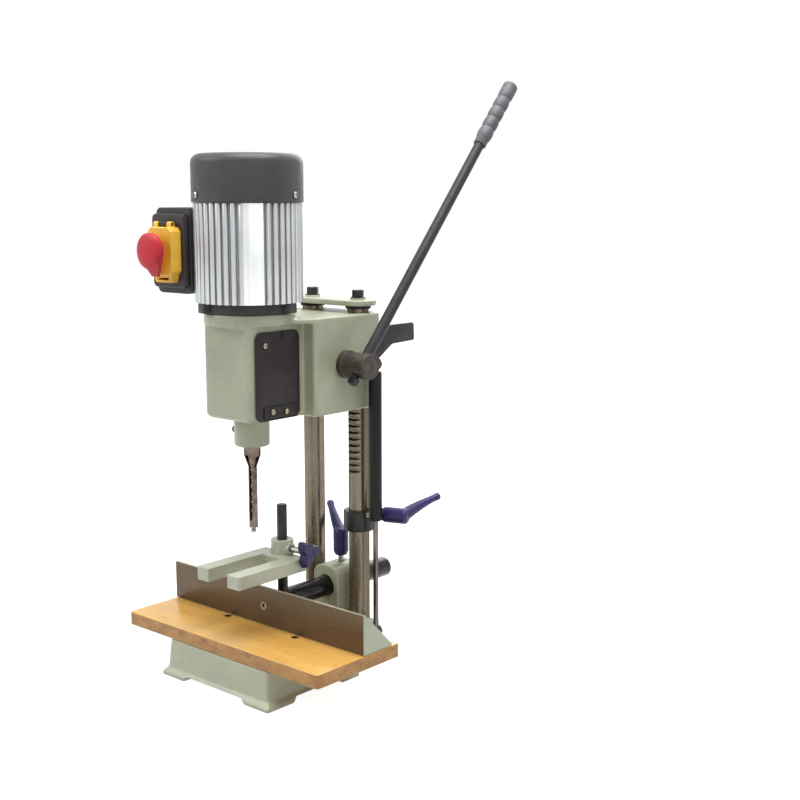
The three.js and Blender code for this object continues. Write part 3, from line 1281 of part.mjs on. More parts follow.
function fenceSlideBar() {
  const front = fenceRearY + fit;
  const edge = fenceBar.chamfer;
  const bar = turned("y", [
    [0, front], [fenceBar.radius, front], [fenceBar.radius, fenceBar.rearY - edge],
    [fenceBar.radius - edge, fenceBar.rearY],
    [0, fenceBar.rearY],
  ], [0, fenceBar.z], 28);
  return bar
    .subtract(
      rod("y", fenceScrew.shankRadius + fit, front - overrun,
        fence.frontY + fenceScrew.length + overrun, [0, fenceBar.z], 14))
    .subtract(
      rod("z", post.radius + fit, fenceBar.z + fenceBar.radius - post.seatDepth,
        fenceBar.z + fenceBar.radius + overrun, [0, post.y], 24));
}

function holdDownPost() {
  const bottomZ = fenceBar.z + fenceBar.radius - post.seatDepth + fit;
  return turned("z", [
    [0, bottomZ], [post.radius, bottomZ], [post.radius, post.topZ - post.chamfer],
    [post.radius - post.chamfer, post.topZ],
    [0, post.topZ],
  ], [0, post.y], 24);
}

function holdDownFork() {
  const topZ = fork.bottomZ + fork.thickness;
  const cut = fork.cornerCut;
  const wide = fork.halfWidth;
  const gap = fork.gapHalf;
  const outline = [
    [gap, fork.tipY], [wide - cut, fork.tipY], [wide, fork.tipY + cut], [wide, fork.rearY - cut],
    [wide - cut, fork.rearY],
    [-wide + cut, fork.rearY], [-wide, fork.rearY - cut], [-wide, fork.tipY + cut],
    [-wide + cut, fork.tipY], [-gap, fork.tipY],
    [-gap, fork.crotchY - cut], [-gap + cut, fork.crotchY], [gap - cut, fork.crotchY],
    [gap, fork.crotchY - cut],
  ];
  const studBoss = rod("x", knob.hubRadius, 0, fork.bossRadius + knob.hubLength, [post.y, fork.studZ], 18);
  return prism("z", outline, fork.bottomZ, topZ)
    .add(rod("z", fork.bossRadius, fork.bottomZ, fork.bossTopZ, [0, post.y], 28))
    .add(studBoss)
    .subtract(rod("z", post.radius + fit, fork.bottomZ - overrun, fork.bossTopZ + overrun, [0, post.y], 24))
    .subtract(
      rod("x", knob.studRadius + fit, 0, fork.bossRadius + knob.hubLength + overrun,
        [post.y, fork.studZ], 14));
}

function holdDownStud() {
  return rod("x", knob.studRadius, post.radius + 2 * fit, knob.startX + knob.thickness / 2, [0, 0], 16);
}

function starKnob() {
  const steps = knob.lobes * 10;
  const outline = Array.from({ length: steps }, (_, step) => {
    const turn = 2 * Math.PI * step / steps;
    const swell = (1 + Math.cos(knob.lobes * turn)) / 2;
    const radius = knob.waist + (knob.radius - knob.waist) * swell;
    return [radius * Math.cos(turn + knob.phase), radius * Math.sin(turn + knob.phase)];
  });
  return prism("x", outline, knob.startX, knob.startX + knob.thickness)
    .subtract(
      rod("x", knob.studRadius + fit, knob.startX - overrun, knob.startX + knob.thickness / 2 + fit,
        [0, 0], 16));
}

// Adjustable clamp lever, hub on its own Z axis, arm leaning outwards along X
function clampLeverSolid() {
  const c = clampLever;
  const hub = turned("z", [
    [0, 0], [c.hubFoot, 0], [c.hubRadius, c.footHeight], [c.hubRadius, c.hubHeight - c.footHeight / 2],
    [c.hubRadius * c.hubTopShare, c.hubHeight], [0, c.hubHeight],
  ], [0, 0], 24);
  const arm = turned("x", [
    [0, 0], [c.armStart, 0], [c.armEnd, c.armLength - c.armEnd],
    [c.armEnd * c.armTipShare, c.armLength - c.armEnd * (1 - c.armTipShare)],
    [0, c.armLength],
  ], [0, 0], 16);
  const lean = new THREE.Matrix4().makeRotationY(-c.armLean).setPosition(0, 0, c.armRootRise);
  return hub.add(moved(arm, lean))
    .subtract(rod("z", c.studRadius + fit, -overrun, c.hubHeight / 2 + fit, [0, 0], 16));
}

function clampStudSolid(length) {
  return rod("z", clampLever.studRadius, -length, clampLever.hubHeight / 2, [0, 0], 16);
}

function buildFence(stand) {
  addPart(stand, "fence", fenceSolid(), paint);
  addPart(stand, "fence_screw", fenceScrewSolid(), brassPlate);
  addPart(stand, "fence_slide_bar", fenceSlideBar(), blackSteel);
  addPart(stand, "hold_down_post", holdDownPost(), blackSteel);
  addPart(stand, "hold_down_fork", holdDownFork(), palePaint);
  const knobGroup = subGroup(stand, 0, post.y, fork.studZ);
  addPart(knobGroup, "hold_down_stud", holdDownStud(), brightSteel);
  addPart(knobGroup, "hold_down_knob", starKnob(), bluePlastic);
  const lockGroup = subGroup(stand, 0, fenceLock.y, slideBlock.topZ + fenceLock.hubStand);
  lockGroup.rotation.z = fenceLock.heading;
  addPart(
    lockGroup, "fence_lock_stud",
    clampStudSolid(slideBlock.topZ + fenceLock.hubStand - fenceBar.z - fenceBar.radius - 2 * fit),
    brightSteel);
  addPart(lockGroup, "fence_lock_lever", clampLeverSolid(), bluePlastic);
}

// Depth stop collar, its clamp lever and its small screw
function depthStopCollar() {
  const heading = new THREE.Matrix4().makeRotationZ(depthStop.stopHeading);
  const boss = moved(
    rod("x", depthStop.bossRadius, 0, depthStop.bossEnd, [0, depthStop.studRise], 20), heading);
  const studHole = moved(
    rod("x", clampLever.studRadius + fit, 0, depthStop.bossEnd + overrun, [0, depthStop.studRise], 16),
    heading);
  const screwHole = moved(
    rod("x", depthStop.screwRadius + fit, 0, depthStop.radius + overrun, [0, depthStop.studRise], 12),
    new THREE.Matrix4().makeRotationZ(depthStop.screwHeading));
  return rod("z", depthStop.radius, 0, depthStop.height, [0, 0], 28)
    .add(boss)
    .subtract(rod("z", column.radius + fit, -overrun, depthStop.height + overrun, [0, 0], 28))
    .subtract(studHole)
    .subtract(screwHole);
}

function depthStopScrew() {
  const outer = depthStop.radius + depthStop.slot / 2;
  return rod(
    "x", depthStop.screwRadius, outer - depthStop.screwLength + depthStop.slot / 2, outer, [0, 0], 14)
    .subtract(socket("x", depthStop.screwRadius / 2, outer - depthStop.slot, outer + overrun));
}

function buildDepthStop(stand) {
  const stopGroup = subGroup(stand, column.x, column.y, depthStop.bottomZ);
  addPart(stopGroup, "depth_stop_collar", depthStopCollar(), blackSteel);
  const screwGroup = subGroup(stopGroup, 0, 0, depthStop.studRise);
  screwGroup.rotation.z = depthStop.screwHeading;
  addPart(screwGroup, "depth_stop_screw", depthStopScrew(), brightSteel);
  const headingGroup = subGroup(stopGroup, 0, 0, depthStop.studRise);
  headingGroup.rotation.z = depthStop.stopHeading;
  const leverGroup = subGroup(headingGroup, depthStop.hubStart, 0, 0);
  leverGroup.rotation.set(0, Math.PI / 2, 0);
  const rollGroup = subGroup(leverGroup);
  rollGroup.rotation.z = Math.PI - depthStop.armTurn;
  const studLength = depthStop.hubStart - column.radius - 2 * fit;
  addPart(rollGroup, "depth_stop_stud", clampStudSolid(studLength), brightSteel);
  addPart(rollGroup, "depth_stop_lever", clampLeverSolid(), bluePlastic);
}

function buildStrut(stand, headGroup) {
  addPart(headGroup, "strut_tube", strutTube(), blackSteel);
  addPart(headGroup, "strut_bracket", strutBracketSolid(), blackSteel);
  addPart(headGroup, "strut_upper_bolt", strutBolt(head.bodyHalfWidth - head.wall, strut.eyeZ), blackSteel);
  addPart(stand, "strut_rod", strutRod(), brightSteel);
  addPart(
    stand, "strut_lower_bolt", strutBolt(columnFoot.halfWidth - base.wall / 2 + fit, strutRodBottomZ),
    blackSteel);
}

function buildHead(headGroup) {
  addPart(headGroup, "head_casting", headCasting(), paint);
  addPart(headGroup, "access_cover", accessCoverSolid(), blackPlastic);
  for (const [name, place] of Object.entries(coverScrewPlaces)) {
    addPart(headGroup, name, coverScrewSolid(place), brightSteel);
  }
  addPart(headGroup, "chisel_lock_screw", chiselLockScrew(), blackSteel);
  addPart(headGroup, "hollow_chisel", hollowChisel(), chiselSteel);
}

const standGroup = subGroup(mortiser);
const headGroup = subGroup(mortiser);
buildStand(standGroup);
buildFence(standGroup);
buildDepthStop(standGroup);
buildHead(headGroup);
buildMotor(headGroup);
buildSwitch(headGroup);
buildFeed(headGroup);
buildStrut(standGroup, headGroup);

export default mortiser;
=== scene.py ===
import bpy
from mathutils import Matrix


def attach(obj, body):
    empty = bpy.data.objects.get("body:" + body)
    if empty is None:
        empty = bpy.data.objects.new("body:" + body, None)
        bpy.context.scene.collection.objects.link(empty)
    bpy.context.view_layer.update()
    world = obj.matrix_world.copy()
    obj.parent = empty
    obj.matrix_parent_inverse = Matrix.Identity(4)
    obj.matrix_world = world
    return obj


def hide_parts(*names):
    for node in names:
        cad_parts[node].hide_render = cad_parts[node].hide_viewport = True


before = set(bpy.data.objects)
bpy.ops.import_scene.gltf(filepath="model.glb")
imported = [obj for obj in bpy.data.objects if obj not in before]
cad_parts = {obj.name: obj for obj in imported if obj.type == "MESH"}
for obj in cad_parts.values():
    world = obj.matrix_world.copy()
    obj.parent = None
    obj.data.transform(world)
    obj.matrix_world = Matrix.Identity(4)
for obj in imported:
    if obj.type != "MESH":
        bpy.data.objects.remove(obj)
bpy.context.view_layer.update()        # the imported meshes, set in world space

import math

import bmesh
import bpy
from mathutils import Matrix, Vector

# A hollow-chisel bench mortiser. Lengths are millimetres until a piece is made; the frame is in metres.
mm = 0.001
origin = (0, 0)


# Shapes

def fillet(points, radii, steps=5):
    # An outline with its corners rounded; radii is one number or one for each corner.
    radii = radii if isinstance(radii, (list, tuple)) else [radii] * len(points)
    rounded = []
    for index, (point, radius) in enumerate(zip(points, radii)):
        corner = Vector(point)
        before = Vector(points[index - 1]) - corner
        after = Vector(points[(index + 1) % len(points)]) - corner
        if radius <= 0 or before.length == 0 or after.length == 0:
            rounded.append(tuple(corner))
            continue
        half = before.angle(after) / 2
        reach = min(radius / math.tan(half), before.length * 0.49, after.length * 0.49)
        size = reach * math.tan(half)
        middle = corner + (before.normalized() + after.normalized()).normalized() * size / math.sin(half)
        start = corner + before.normalized() * reach - middle
        end = corner + after.normalized() * reach - middle
        turn = start.angle_signed(end)
        for step in range(steps + 1):
            arm = start.copy()
            arm.rotate(Matrix.Rotation(-turn * step / steps, 2))
            rounded.append(tuple(middle + arm))
    return rounded


def rectangle(u, v):
    return [(u[1], v[1]), (u[0], v[1]), (u[0], v[0]), (u[1], v[0])]


def place(axis, u, v, along):
    return {"x": (along, u, v), "y": (u, along, v), "z": (u, v, along)}[axis]


def solid(name, corners, faces):
    # A closed mesh object; its faces are turned outwards.
    shape = bmesh.new()
    made = [shape.verts.new(Vector(corner) * mm) for corner in corners]
    for face in faces:
        if len(set(face)) > 2:
            shape.faces.new([made[index] for index in dict.fromkeys(face)])
    bmesh.ops.remove_doubles(shape, verts=shape.verts, dist=1e-7)
    bmesh.ops.recalc_face_normals(shape, faces=shape.faces)
    mesh = bpy.data.meshes.new(name)
    shape.to_mesh(mesh)
    shape.free()
    item = bpy.data.objects.new(name, mesh)
    bpy.context.collection.objects.link(item)
    return item


def lofted(name, rings):
    # Rings of equal point count joined one after another and capped at both ends.
    count = len(rings[0])
    corners = [corner for ring in rings for corner in ring]
    faces = []
    for level in range(len(rings) - 1):
        low, high = level * count, (level + 1) * count
        for index in range(count):
            after = (index + 1) % count
            faces.append([low + index, low + after, high + after, high + index])
    faces.append(list(range(count)))
    faces.append(list(range(len(corners) - count, len(corners))))
    return solid(name, corners, faces)


def extruded(name, axis, outline, start, end, edge=0.0, steps=3):
    # An outline pushed along an axis, with its two rims rounded by edge.
    levels = [(start, 0.0), (end, 0.0)]
    if edge:
        turns = [math.pi / 2 * step / steps for step in range(steps + 1)]
        bend = [(edge * (1 - math.sin(turn)), edge * (1 - math.cos(turn))) for turn in turns]
        levels = [(start + along, depth) for along, depth in reversed(bend)]
        levels += [(end - along, depth) for along, depth in bend]
    return lofted(name, [[place(axis, u, v, along) for u, v in inset(outline, depth)] for along, depth in levels])


def inset(outline, depth):
    # The outline moved inwards by depth, whichever way round it runs.
    if depth == 0:
        return outline
    area = sum(a[0] * b[1] - b[0] * a[1] for a, b in zip(outline, outline[1:] + outline[:1]))
    side = 1 if area > 0 else -1
    moved = []
    for index, point in enumerate(outline):
        before = Vector(point) - Vector(outline[index - 1])
        after = Vector(outline[(index + 1) % len(outline)]) - Vector(point)
        if before.length < 1e-9 or after.length < 1e-9:
            moved.append(point)
            continue
        normals = [Vector((-edge.y, edge.x)).normalized() * side for edge in (before, after)]
        middle = (normals[0] + normals[1]).normalized()
        stretch = max(middle.dot(normals[0]), 0.5)
        moved.append(tuple(Vector(point) + middle * depth / stretch))
    return moved


def turned(name, axis, profile, cross=origin, steps=96, radii=0.0):
    # A profile of (radius, along) turned round an axis; a profile may be closed or end on the axis.
    if radii:
        profile = fillet(profile, radii)
    corners, rings = [], []
    for radius, along in profile:
        count = steps if radius > 1e-6 else 1
        rings.append([len(corners) + index for index in range(count)])
        for index in range(count):
            angle = 2 * math.pi * index / steps
            corners.append(place(
                axis, cross[0] + radius * math.cos(angle), cross[1] + radius * math.sin(angle), along))
    faces = []
    for ring, after in zip(rings, rings[1:] + rings[:1]):
        if len(ring) == 1 and len(after) == 1:
            continue
        for index in range(steps):
            following = (index + 1) % steps
            faces.append([
                ring[index % len(ring)], ring[following % len(ring)], after[following % len(after)],
                after[index % len(after)]])
    return solid(name, corners, faces)


def rod(name, axis, radius, start, end, cross=origin, edge=0.0, steps=64):
    profile = [(0, start), (radius, start), (radius, end), (0, end)]
    return turned(name, axis, profile, cross, steps, [0, edge, edge, 0])


def swept(name, path, radii, steps=24):
    # A round bar along a path of points, its ends closed.
    points = [Vector(point) for point in path]
    rings = []
    for index, point in enumerate(points):
        ahead = (points[min(index + 1, len(points) - 1)] - points[max(index - 1, 0)]).normalized()
        side = ahead.cross(Vector((0, 1, 0))).normalized()
        across = side.cross(ahead).normalized()
        ring = []
        for step in range(steps):
            angle = 2 * math.pi * step / steps
            ring.append(point + side * math.cos(angle) * radii[index] + across * math.sin(angle) * radii[index])
        rings.append(ring)
    return lofted(name, rings)


def applied(item):
    # The modifiers' result kept as a plain mesh.
    graph = bpy.context.evaluated_depsgraph_get()
    result = bpy.data.meshes.new_from_object(item.evaluated_get(graph))
    item.modifiers.clear()
    item.data = result
    return item


def combined(item, operation, others):
    for other in others:
        change = item.modifiers.new("combine", "BOOLEAN")
        change.operation = operation
        change.object = other
        change.solver = "EXACT"
    applied(item)
    for other in others:
        bpy.data.objects.remove(other)
    return item


def joined(item, *others):
    return combined(item, "UNION", others)


def cut(item, *others):
    return combined(item, "DIFFERENCE", others)


def softened(item, width, segments=3, angle=32):
    # Small rounded edges, as every real edge has.
    bevel = item.modifiers.new("edges", "BEVEL")
    bevel.width = width * mm
    bevel.segments = segments
    bevel.limit_method = "ANGLE"
    bevel.angle_limit = math.radians(angle)
    bevel.miter_outer = "MITER_ARC"
    return applied(item)


def castSoft(item, voxel, rounds):
    # The soft inner and outer corners of a casting or moulding.
    remesh = item.modifiers.new("grid", "REMESH")
    remesh.mode = "VOXEL"
    remesh.voxel_size = voxel * mm
    smooth = item.modifiers.new("soften", "SMOOTH")
    smooth.factor = 0.5
    smooth.iterations = rounds
    return applied(item)


def shaded(item, angle=35):
    item.data.shade_smooth()
    item.data.set_sharp_from_angle(angle=math.radians(angle))
    return item


def fromNode(name, node):
    # A merged copy of a CAD node's mesh, its flat faces made whole.
    shape = bmesh.new()
    shape.from_mesh(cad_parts[node].data)
    bmesh.ops.remove_doubles(shape, verts=shape.verts, dist=1e-6)
    bmesh.ops.dissolve_limit(shape, angle_limit=math.radians(0.5), verts=shape.verts, edges=shape.edges)
    mesh = bpy.data.meshes.new(name)
    shape.to_mesh(mesh)
    shape.free()
    item = bpy.data.objects.new(name, mesh)
    bpy.context.collection.objects.link(item)
    return item


def movedBy(item, matrix):
    item.data.transform(matrix)
    if matrix.determinant() < 0:
        item.data.flip_normals()
    return item


def shift(x=0, y=0, z=0):
    return Matrix.Translation(Vector((x, y, z)) * mm)


def spin(degrees, axis):
    return Matrix.Rotation(math.radians(degrees), 4, axis.upper())


# Repeats by Geometry Nodes: the piece's own mesh is set out Count times, each one moved by Step and
# turned by Turn more than the one before.

def addNode(tree, kind, settings=None, links=None):
    node = tree.nodes.new(kind)
    for key, value in (settings or {}).items():
        if isinstance(key, str) and hasattr(node, key):
            setattr(node, key, value)
        else:
            node.inputs[key].default_value = value
    for key, source in (links or {}).items():
        tree.links.new(source, node.inputs[key])
    return node


def repeatTree():
    tree = bpy.data.node_groups.new("repeat", "GeometryNodeTree")
    sockets = [
        ("Item", "NodeSocketGeometry"), ("Count", "NodeSocketInt"), ("Step", "NodeSocketVector"),
        ("Turn", "NodeSocketVector"), ("Material", "NodeSocketMaterial")]
    for name, kind in sockets:
        tree.interface.new_socket(name, in_out="INPUT", socket_type=kind)
    tree.interface.new_socket("Result", in_out="OUTPUT", socket_type="NodeSocketGeometry")
    given = addNode(tree, "NodeGroupInput").outputs
    number = addNode(tree, "GeometryNodeInputIndex").outputs[0]
    step = addNode(tree, "ShaderNodeVectorMath", {"operation": "SCALE"}, {0: given["Step"], 3: number})
    turn = addNode(tree, "ShaderNodeVectorMath", {"operation": "SCALE"}, {0: given["Turn"], 3: number})
    points = addNode(tree, "GeometryNodePoints", None, {0: given["Count"]})
    spread = addNode(tree, "GeometryNodeSetPosition", None, {0: points.outputs[0], 3: step.outputs[0]})
    copies = addNode(tree, "GeometryNodeInstanceOnPoints", None, {
        "Points": spread.outputs[0], "Instance": given["Item"], "Rotation": turn.outputs[0]})
    real = addNode(tree, "GeometryNodeRealizeInstances", None, {0: copies.outputs[0]})
    finish = addNode(tree, "GeometryNodeSetMaterial", None, {
        "Geometry": real.outputs[0], "Material": given["Material"]})
    addNode(tree, "NodeGroupOutput", None, {0: finish.outputs[0]})
    return tree


repeats = repeatTree()


def repeated(item, count, step=(0, 0, 0), turn=(0, 0, 0), finish=None):
    change = item.modifiers.new("repeat", "NODES")
    change.node_group = repeats
    values = {
        "Count": count, "Step": [length * mm for length in step],
        "Turn": [math.radians(angle) for angle in turn], "Material": finish}
    for socket in repeats.interface.items_tree:
        if socket.in_out == "INPUT" and values.get(socket.name) is not None:
            change[socket.identifier] = values[socket.name]
    return applied(item)


# Materials

def linear(hexColour):
    # The linear values of an sRGB colour written in hex.
    shares = [int(hexColour[index:index + 2], 16) / 255 for index in (1, 3, 5)]
    return tuple([s / 12.92 if s <= 0.04045 else ((s + 0.055) / 1.055) ** 2.4 for s in shares] + [1.0])


def patternShare(tree, spot, size, stretch=(1, 1, 1), detail=3, low=0.3, high=0.7, most=1.0, bands=None):
    # A share from nought to most over a surface: noise with features about size mm across, drawn out along
    # an axis by a small stretch, or even bands of that pitch along an axis.
    if bands:
        split = addNode(tree, "ShaderNodeSeparateXYZ", None, {0: spot})
        turns = addNode(tree, "ShaderNodeMath", {"operation": "MULTIPLY", 1: 2 * math.pi / (size * mm)}, {
            0: split.outputs[bands]})
        source = addNode(tree, "ShaderNodeMath", {"operation": "SINE"}, {0: turns.outputs[0]}).outputs[0]
    else:
        mapping = addNode(tree, "ShaderNodeMapping", {"Scale": stretch}, {"Vector": spot})
        source = addNode(tree, "ShaderNodeTexNoise", {"Scale": 1 / (size * mm), "Detail": detail}, {
            "Vector": mapping.outputs[0]}).outputs[0]
    share = addNode(tree, "ShaderNodeMapRange", {"From Min": low, "From Max": high, "To Max": most}, {
        "Value": source})
    return share.outputs[0]


def material(name, ground, layers, gloss, relief, shader=None):
    # Colours laid over a ground colour, a roughness that wanders between two values, and reliefs in mm.
    made = bpy.data.materials.new(name)
    made.use_nodes = True
    tree = made.node_tree
    surface = tree.nodes["Principled BSDF"]
    for socket, value in (shader or {}).items():
        surface.inputs[socket].default_value = value
    spot = addNode(tree, "ShaderNodeTexCoord").outputs["Object"]
    under = None
    for colour, pattern in layers:
        mix = addNode(tree, "ShaderNodeMix", {"data_type": "RGBA", 6: linear(ground), 7: linear(colour)}, {
            0: patternShare(tree, spot, **pattern)})
        if under:
            tree.links.new(under, mix.inputs[6])
        under = mix.outputs[2]
    tree.links.new(under, surface.inputs["Base Color"])
    smoothest, roughest, pattern = gloss
    rough = addNode(tree, "ShaderNodeMapRange", {"To Min": smoothest, "To Max": roughest}, {
        "Value": patternShare(tree, spot, **pattern)})
    tree.links.new(rough.outputs[0], surface.inputs["Roughness"])
    slope = None
    for depth, pattern in relief:
        bump = addNode(tree, "ShaderNodeBump", {"Distance": depth * mm}, {
            "Height": patternShare(tree, spot, **pattern)})
        if slope:
            tree.links.new(slope, bump.inputs["Normal"])
        slope = bump.outputs[0]
    tree.links.new(slope, surface.inputs["Normal"])
    return made


# Machine enamel sprayed on rough cast iron: a semi-gloss skin with slow waves and a fine orange peel, a
# little darker where dust settles.
enamel = material(
    "greyGreenEnamelOnIron", "#b4b79e",
    [("#a6aa92", {"size": 46}), ("#8f937c", {"size": 7, "detail": 4, "most": 0.22})],
    (0.3, 0.44, {"size": 16, "detail": 4}),
    [(0.16, {"size": 9, "detail": 2}), (0.04, {"size": 1.1, "detail": 2})],
    {"Coat Weight": 0.25, "Coat Roughness": 0.2})
# The same enamel on machined or pressed steel: smoother, with a finer peel.
smoothEnamel = material(
    "greyGreenEnamelOnSteel", "#bbc0ac",
    [("#a9ae99", {"size": 38}), ("#8f947f", {"size": 6, "detail": 4, "most": 0.2})],
    (0.3, 0.42, {"size": 12, "detail": 4}),
    [(0.08, {"size": 7, "detail": 2}), (0.03, {"size": 0.8, "detail": 2})],
    {"Coat Weight": 0.25, "Coat Roughness": 0.2})
# Varnished beech ply: long grain along the board, short darker flecks and a glossy clear coat.
board = material(
    "varnishedBeechPly", "#dfae56",
    [("#c89038", {"size": 26, "stretch": (0.1, 1, 1), "detail": 4}),
     ("#95602a", {"size": 3.2, "stretch": (0.16, 1, 1), "detail": 1, "low": 0.62, "high": 0.78, "most": 0.5}),
     ("#e2b873", {"size": 1.8, "stretch": (0.04, 1, 1), "most": 0.3})],
    (0.27, 0.4, {"size": 1.8, "stretch": (0.04, 1, 1)}),
    [(0.02, {"size": 1.8, "stretch": (0.04, 1, 1)})],
    {"Coat Weight": 0.45, "Coat Roughness": 0.16})
# The board's sawn and sealed edges: mottled brown end grain with dark knots over faint plies.
edge = material(
    "sawnPlyEdge", "#bf9159",
    [("#8b5f37", {"size": 3.2, "bands": "Z", "low": -0.6, "high": 0.6, "most": 0.22}),
     ("#7c5231", {"size": 13, "stretch": (0.6, 0.6, 1.2), "detail": 5, "low": 0.42, "high": 0.66, "most": 0.5}),
     ("#54371f", {"size": 8, "stretch": (0.7, 0.7, 1.3), "detail": 3, "low": 0.6, "high": 0.74, "most": 0.55}),
     ("#c79a63", {"size": 2.4, "stretch": (0.5, 0.5, 1), "detail": 4, "low": 0.5, "high": 0.76, "most": 0.4})],
    (0.5, 0.66, {"size": 6}),
    [(0.1, {"size": 1.6, "stretch": (0.3, 0.3, 1)})])
# Ground column bar: drawn steel with long brown streaks up it, painted as dark reflections of the surroundings, and
# fine rings from the grinding.
columnSteel = material(
    "groundColumnSteel", "#978e80",
    [("#6a5d4e", {"size": 13, "stretch": (1, 1, 0.02), "detail": 2, "low": 0.32, "high": 0.6, "most": 0.85}),
     ("#4c4035", {"size": 5, "stretch": (1, 1, 0.03), "detail": 2, "low": 0.5, "high": 0.7, "most": 0.5}),
     ("#75695a", {"size": 40, "detail": 4, "most": 0.4})],
    (0.2, 0.36, {"size": 5, "stretch": (0.05, 0.05, 1), "detail": 4}),
    [(0.006, {"size": 0.9, "stretch": (0.05, 0.05, 1)})],
    {"Metallic": 0.65, "Specular Tint": linear("#857c70"), "Specular IOR Level": 0.3})
# Chromed strut rod: nearly mirror smooth, with faint rings.
rodSteel = material(
    "chromedRod", "#756d6c", [("#564e4e", {"size": 26})],
    (0.12, 0.24, {"size": 5, "stretch": (0.05, 0.05, 1)}),
    [(0.006, {"size": 0.9, "stretch": (0.05, 0.05, 1)})],
    {"Metallic": 1.0, "Specular Tint": linear("#8a8282")})
# Ground tool steel of the chisel, browned by heat and resin, with grinding lines across it.
chiselSteel = material(
    "groundToolSteel", "#85766d",
    [("#4f4039", {"size": 9, "detail": 5}),
     ("#372b25", {"size": 3, "detail": 4, "low": 0.56, "high": 0.7, "most": 0.6})],
    (0.24, 0.44, {"size": 1.2, "stretch": (0.1, 0.1, 1), "detail": 4}),
    [(0.015, {"size": 0.8, "stretch": (0.1, 0.1, 1)})],
    {"Metallic": 1.0, "Specular Tint": linear("#7d7068")})
# Polished high speed steel of the auger, brighter than the chisel round it.
augerSteel = material(
    "polishedAugerSteel", "#b0a59c", [("#786c64", {"size": 5, "detail": 4})], (0.2, 0.34, {"size": 2}),
    [(0.01, {"size": 0.8})], {"Metallic": 1.0, "Specular Tint": linear("#a0968d")})
# The fence's bare front: rolled steel, its brown a painted reflection of the wooden table, faint draw marks along
# it.
fenceSteel = material(
    "rolledSteelPaintedReflection", "#5a4a34",
    [("#4a3b29", {"size": 60, "stretch": (0.5, 1, 1), "detail": 4}),
     ("#7c6a52", {"size": 1.3, "stretch": (0.03, 1, 1), "most": 0.22})],
    (0.3, 0.42, {"size": 20, "detail": 4}),
    [(0.012, {"size": 1.3, "stretch": (0.03, 1, 1)})],
    {"Metallic": 0.55})
# The fence's sawn top rim, bare steel, its brightness a painted highlight of the light from above.
fenceRimHighlight = material(
    "sawnRimPaintedHighlight", "#b5ab93", [("#8f856c", {"size": 7, "detail": 4})], (0.32, 0.46, {"size": 3}),
    [(0.02, {"size": 1, "stretch": (0.1, 1, 1)})], {"Metallic": 0.7})
# Zinc plate: bright and slightly cloudy.
zinc = material(
    "zincPlatedSteel", "#bdbcb7", [("#97958f", {"size": 5, "detail": 4})], (0.22, 0.36, {"size": 3}),
    [(0.02, {"size": 1.4})], {"Metallic": 1.0, "Specular Tint": linear("#9a9893")})
# Pale yellow passivated zinc of the small screws.
brass = material(
    "yellowPlatedSteel", "#aaa48e", [("#6f6850", {"size": 4, "detail": 4})], (0.24, 0.38, {"size": 3}),
    [(0.02, {"size": 1.2})], {"Metallic": 1.0, "Specular Tint": linear("#9c9070")})
# Blackened steel with an oily sheen.
blackOxide = material(
    "blackOxideSteel", "#2b2827", [("#1e1c1b", {"size": 9, "detail": 4})], (0.28, 0.42, {"size": 3, "detail": 4}),
    [(0.02, {"size": 1.4})], {"Metallic": 0.45})
# Browned steel of the lever's hub, with worn lighter patches.
brownOxide = material(
    "brownedSteel", "#554b44",
    [("#332d29", {"size": 11, "detail": 4}),
     ("#6a6058", {"size": 2, "detail": 3, "low": 0.62, "high": 0.72, "most": 0.4})],
    (0.34, 0.48, {"size": 4}), [(0.02, {"size": 1.4})], {"Metallic": 0.4})
# Polished black bar of the fence slide.
polishedBlack = material(
    "polishedBlackBar", "#262322", [("#191716", {"size": 12, "detail": 4})],
    (0.14, 0.28, {"size": 4, "stretch": (1, 0.1, 1)}),
    [(0.006, {"size": 1.2, "stretch": (1, 0.1, 1)})], {"Metallic": 0.5})
# Grey paint on the lever's bar, thin and smooth.
leverPaint = material(
    "greyPaintedSteel", "#3d3b40", [("#323035", {"size": 24, "detail": 4})], (0.4, 0.54, {"size": 6}),
    [(0.03, {"size": 2.4})], {"Metallic": 0.15, "Specular IOR Level": 0.25})
# Stoved black paint of the gas strut.
strutPaint = material(
    "blackStovedPaint", "#1b191a", [("#141213", {"size": 20})], (0.3, 0.42, {"size": 7}),
    [(0.015, {"size": 0.8})], {"Specular IOR Level": 0.2})
# Purple-grey powder coat of the strut's bracket: coarse and matt.
bracketPaint = material(
    "purpleGreyPowderCoat", "#3b363b", [("#302b2f", {"size": 9, "detail": 4})], (0.46, 0.58, {"size": 4}),
    [(0.06, {"size": 0.9})], {"Specular IOR Level": 0.3})
# Black painted sheet of the access cover, a little brown and scuffed.
coverPaint = material(
    "blackPaintedSheet", "#251d1d",
    [("#1b1515", {"size": 14, "detail": 4}),
     ("#3a3030", {"size": 2.6, "detail": 4, "low": 0.6, "high": 0.74, "most": 0.3})],
    (0.36, 0.5, {"size": 5}), [(0.03, {"size": 0.9})], {"Specular IOR Level": 0.28})
# Extruded aluminium of the motor's ribs: die lines run straight up it.
aluminium = material(
    "extrudedAluminium", "#cdd1d3",
    [("#a3a7aa", {"size": 1.6, "stretch": (1, 1, 0.004), "detail": 2, "most": 0.5}),
     ("#b3a9a3", {"size": 34, "most": 0.4})],
    (0.22, 0.34, {"size": 3, "stretch": (1, 1, 0.02)}), [(0.01, {"size": 1.2, "stretch": (1, 1, 0.004)})],
    {"Metallic": 0.75, "Specular Tint": linear("#a7aaad")})
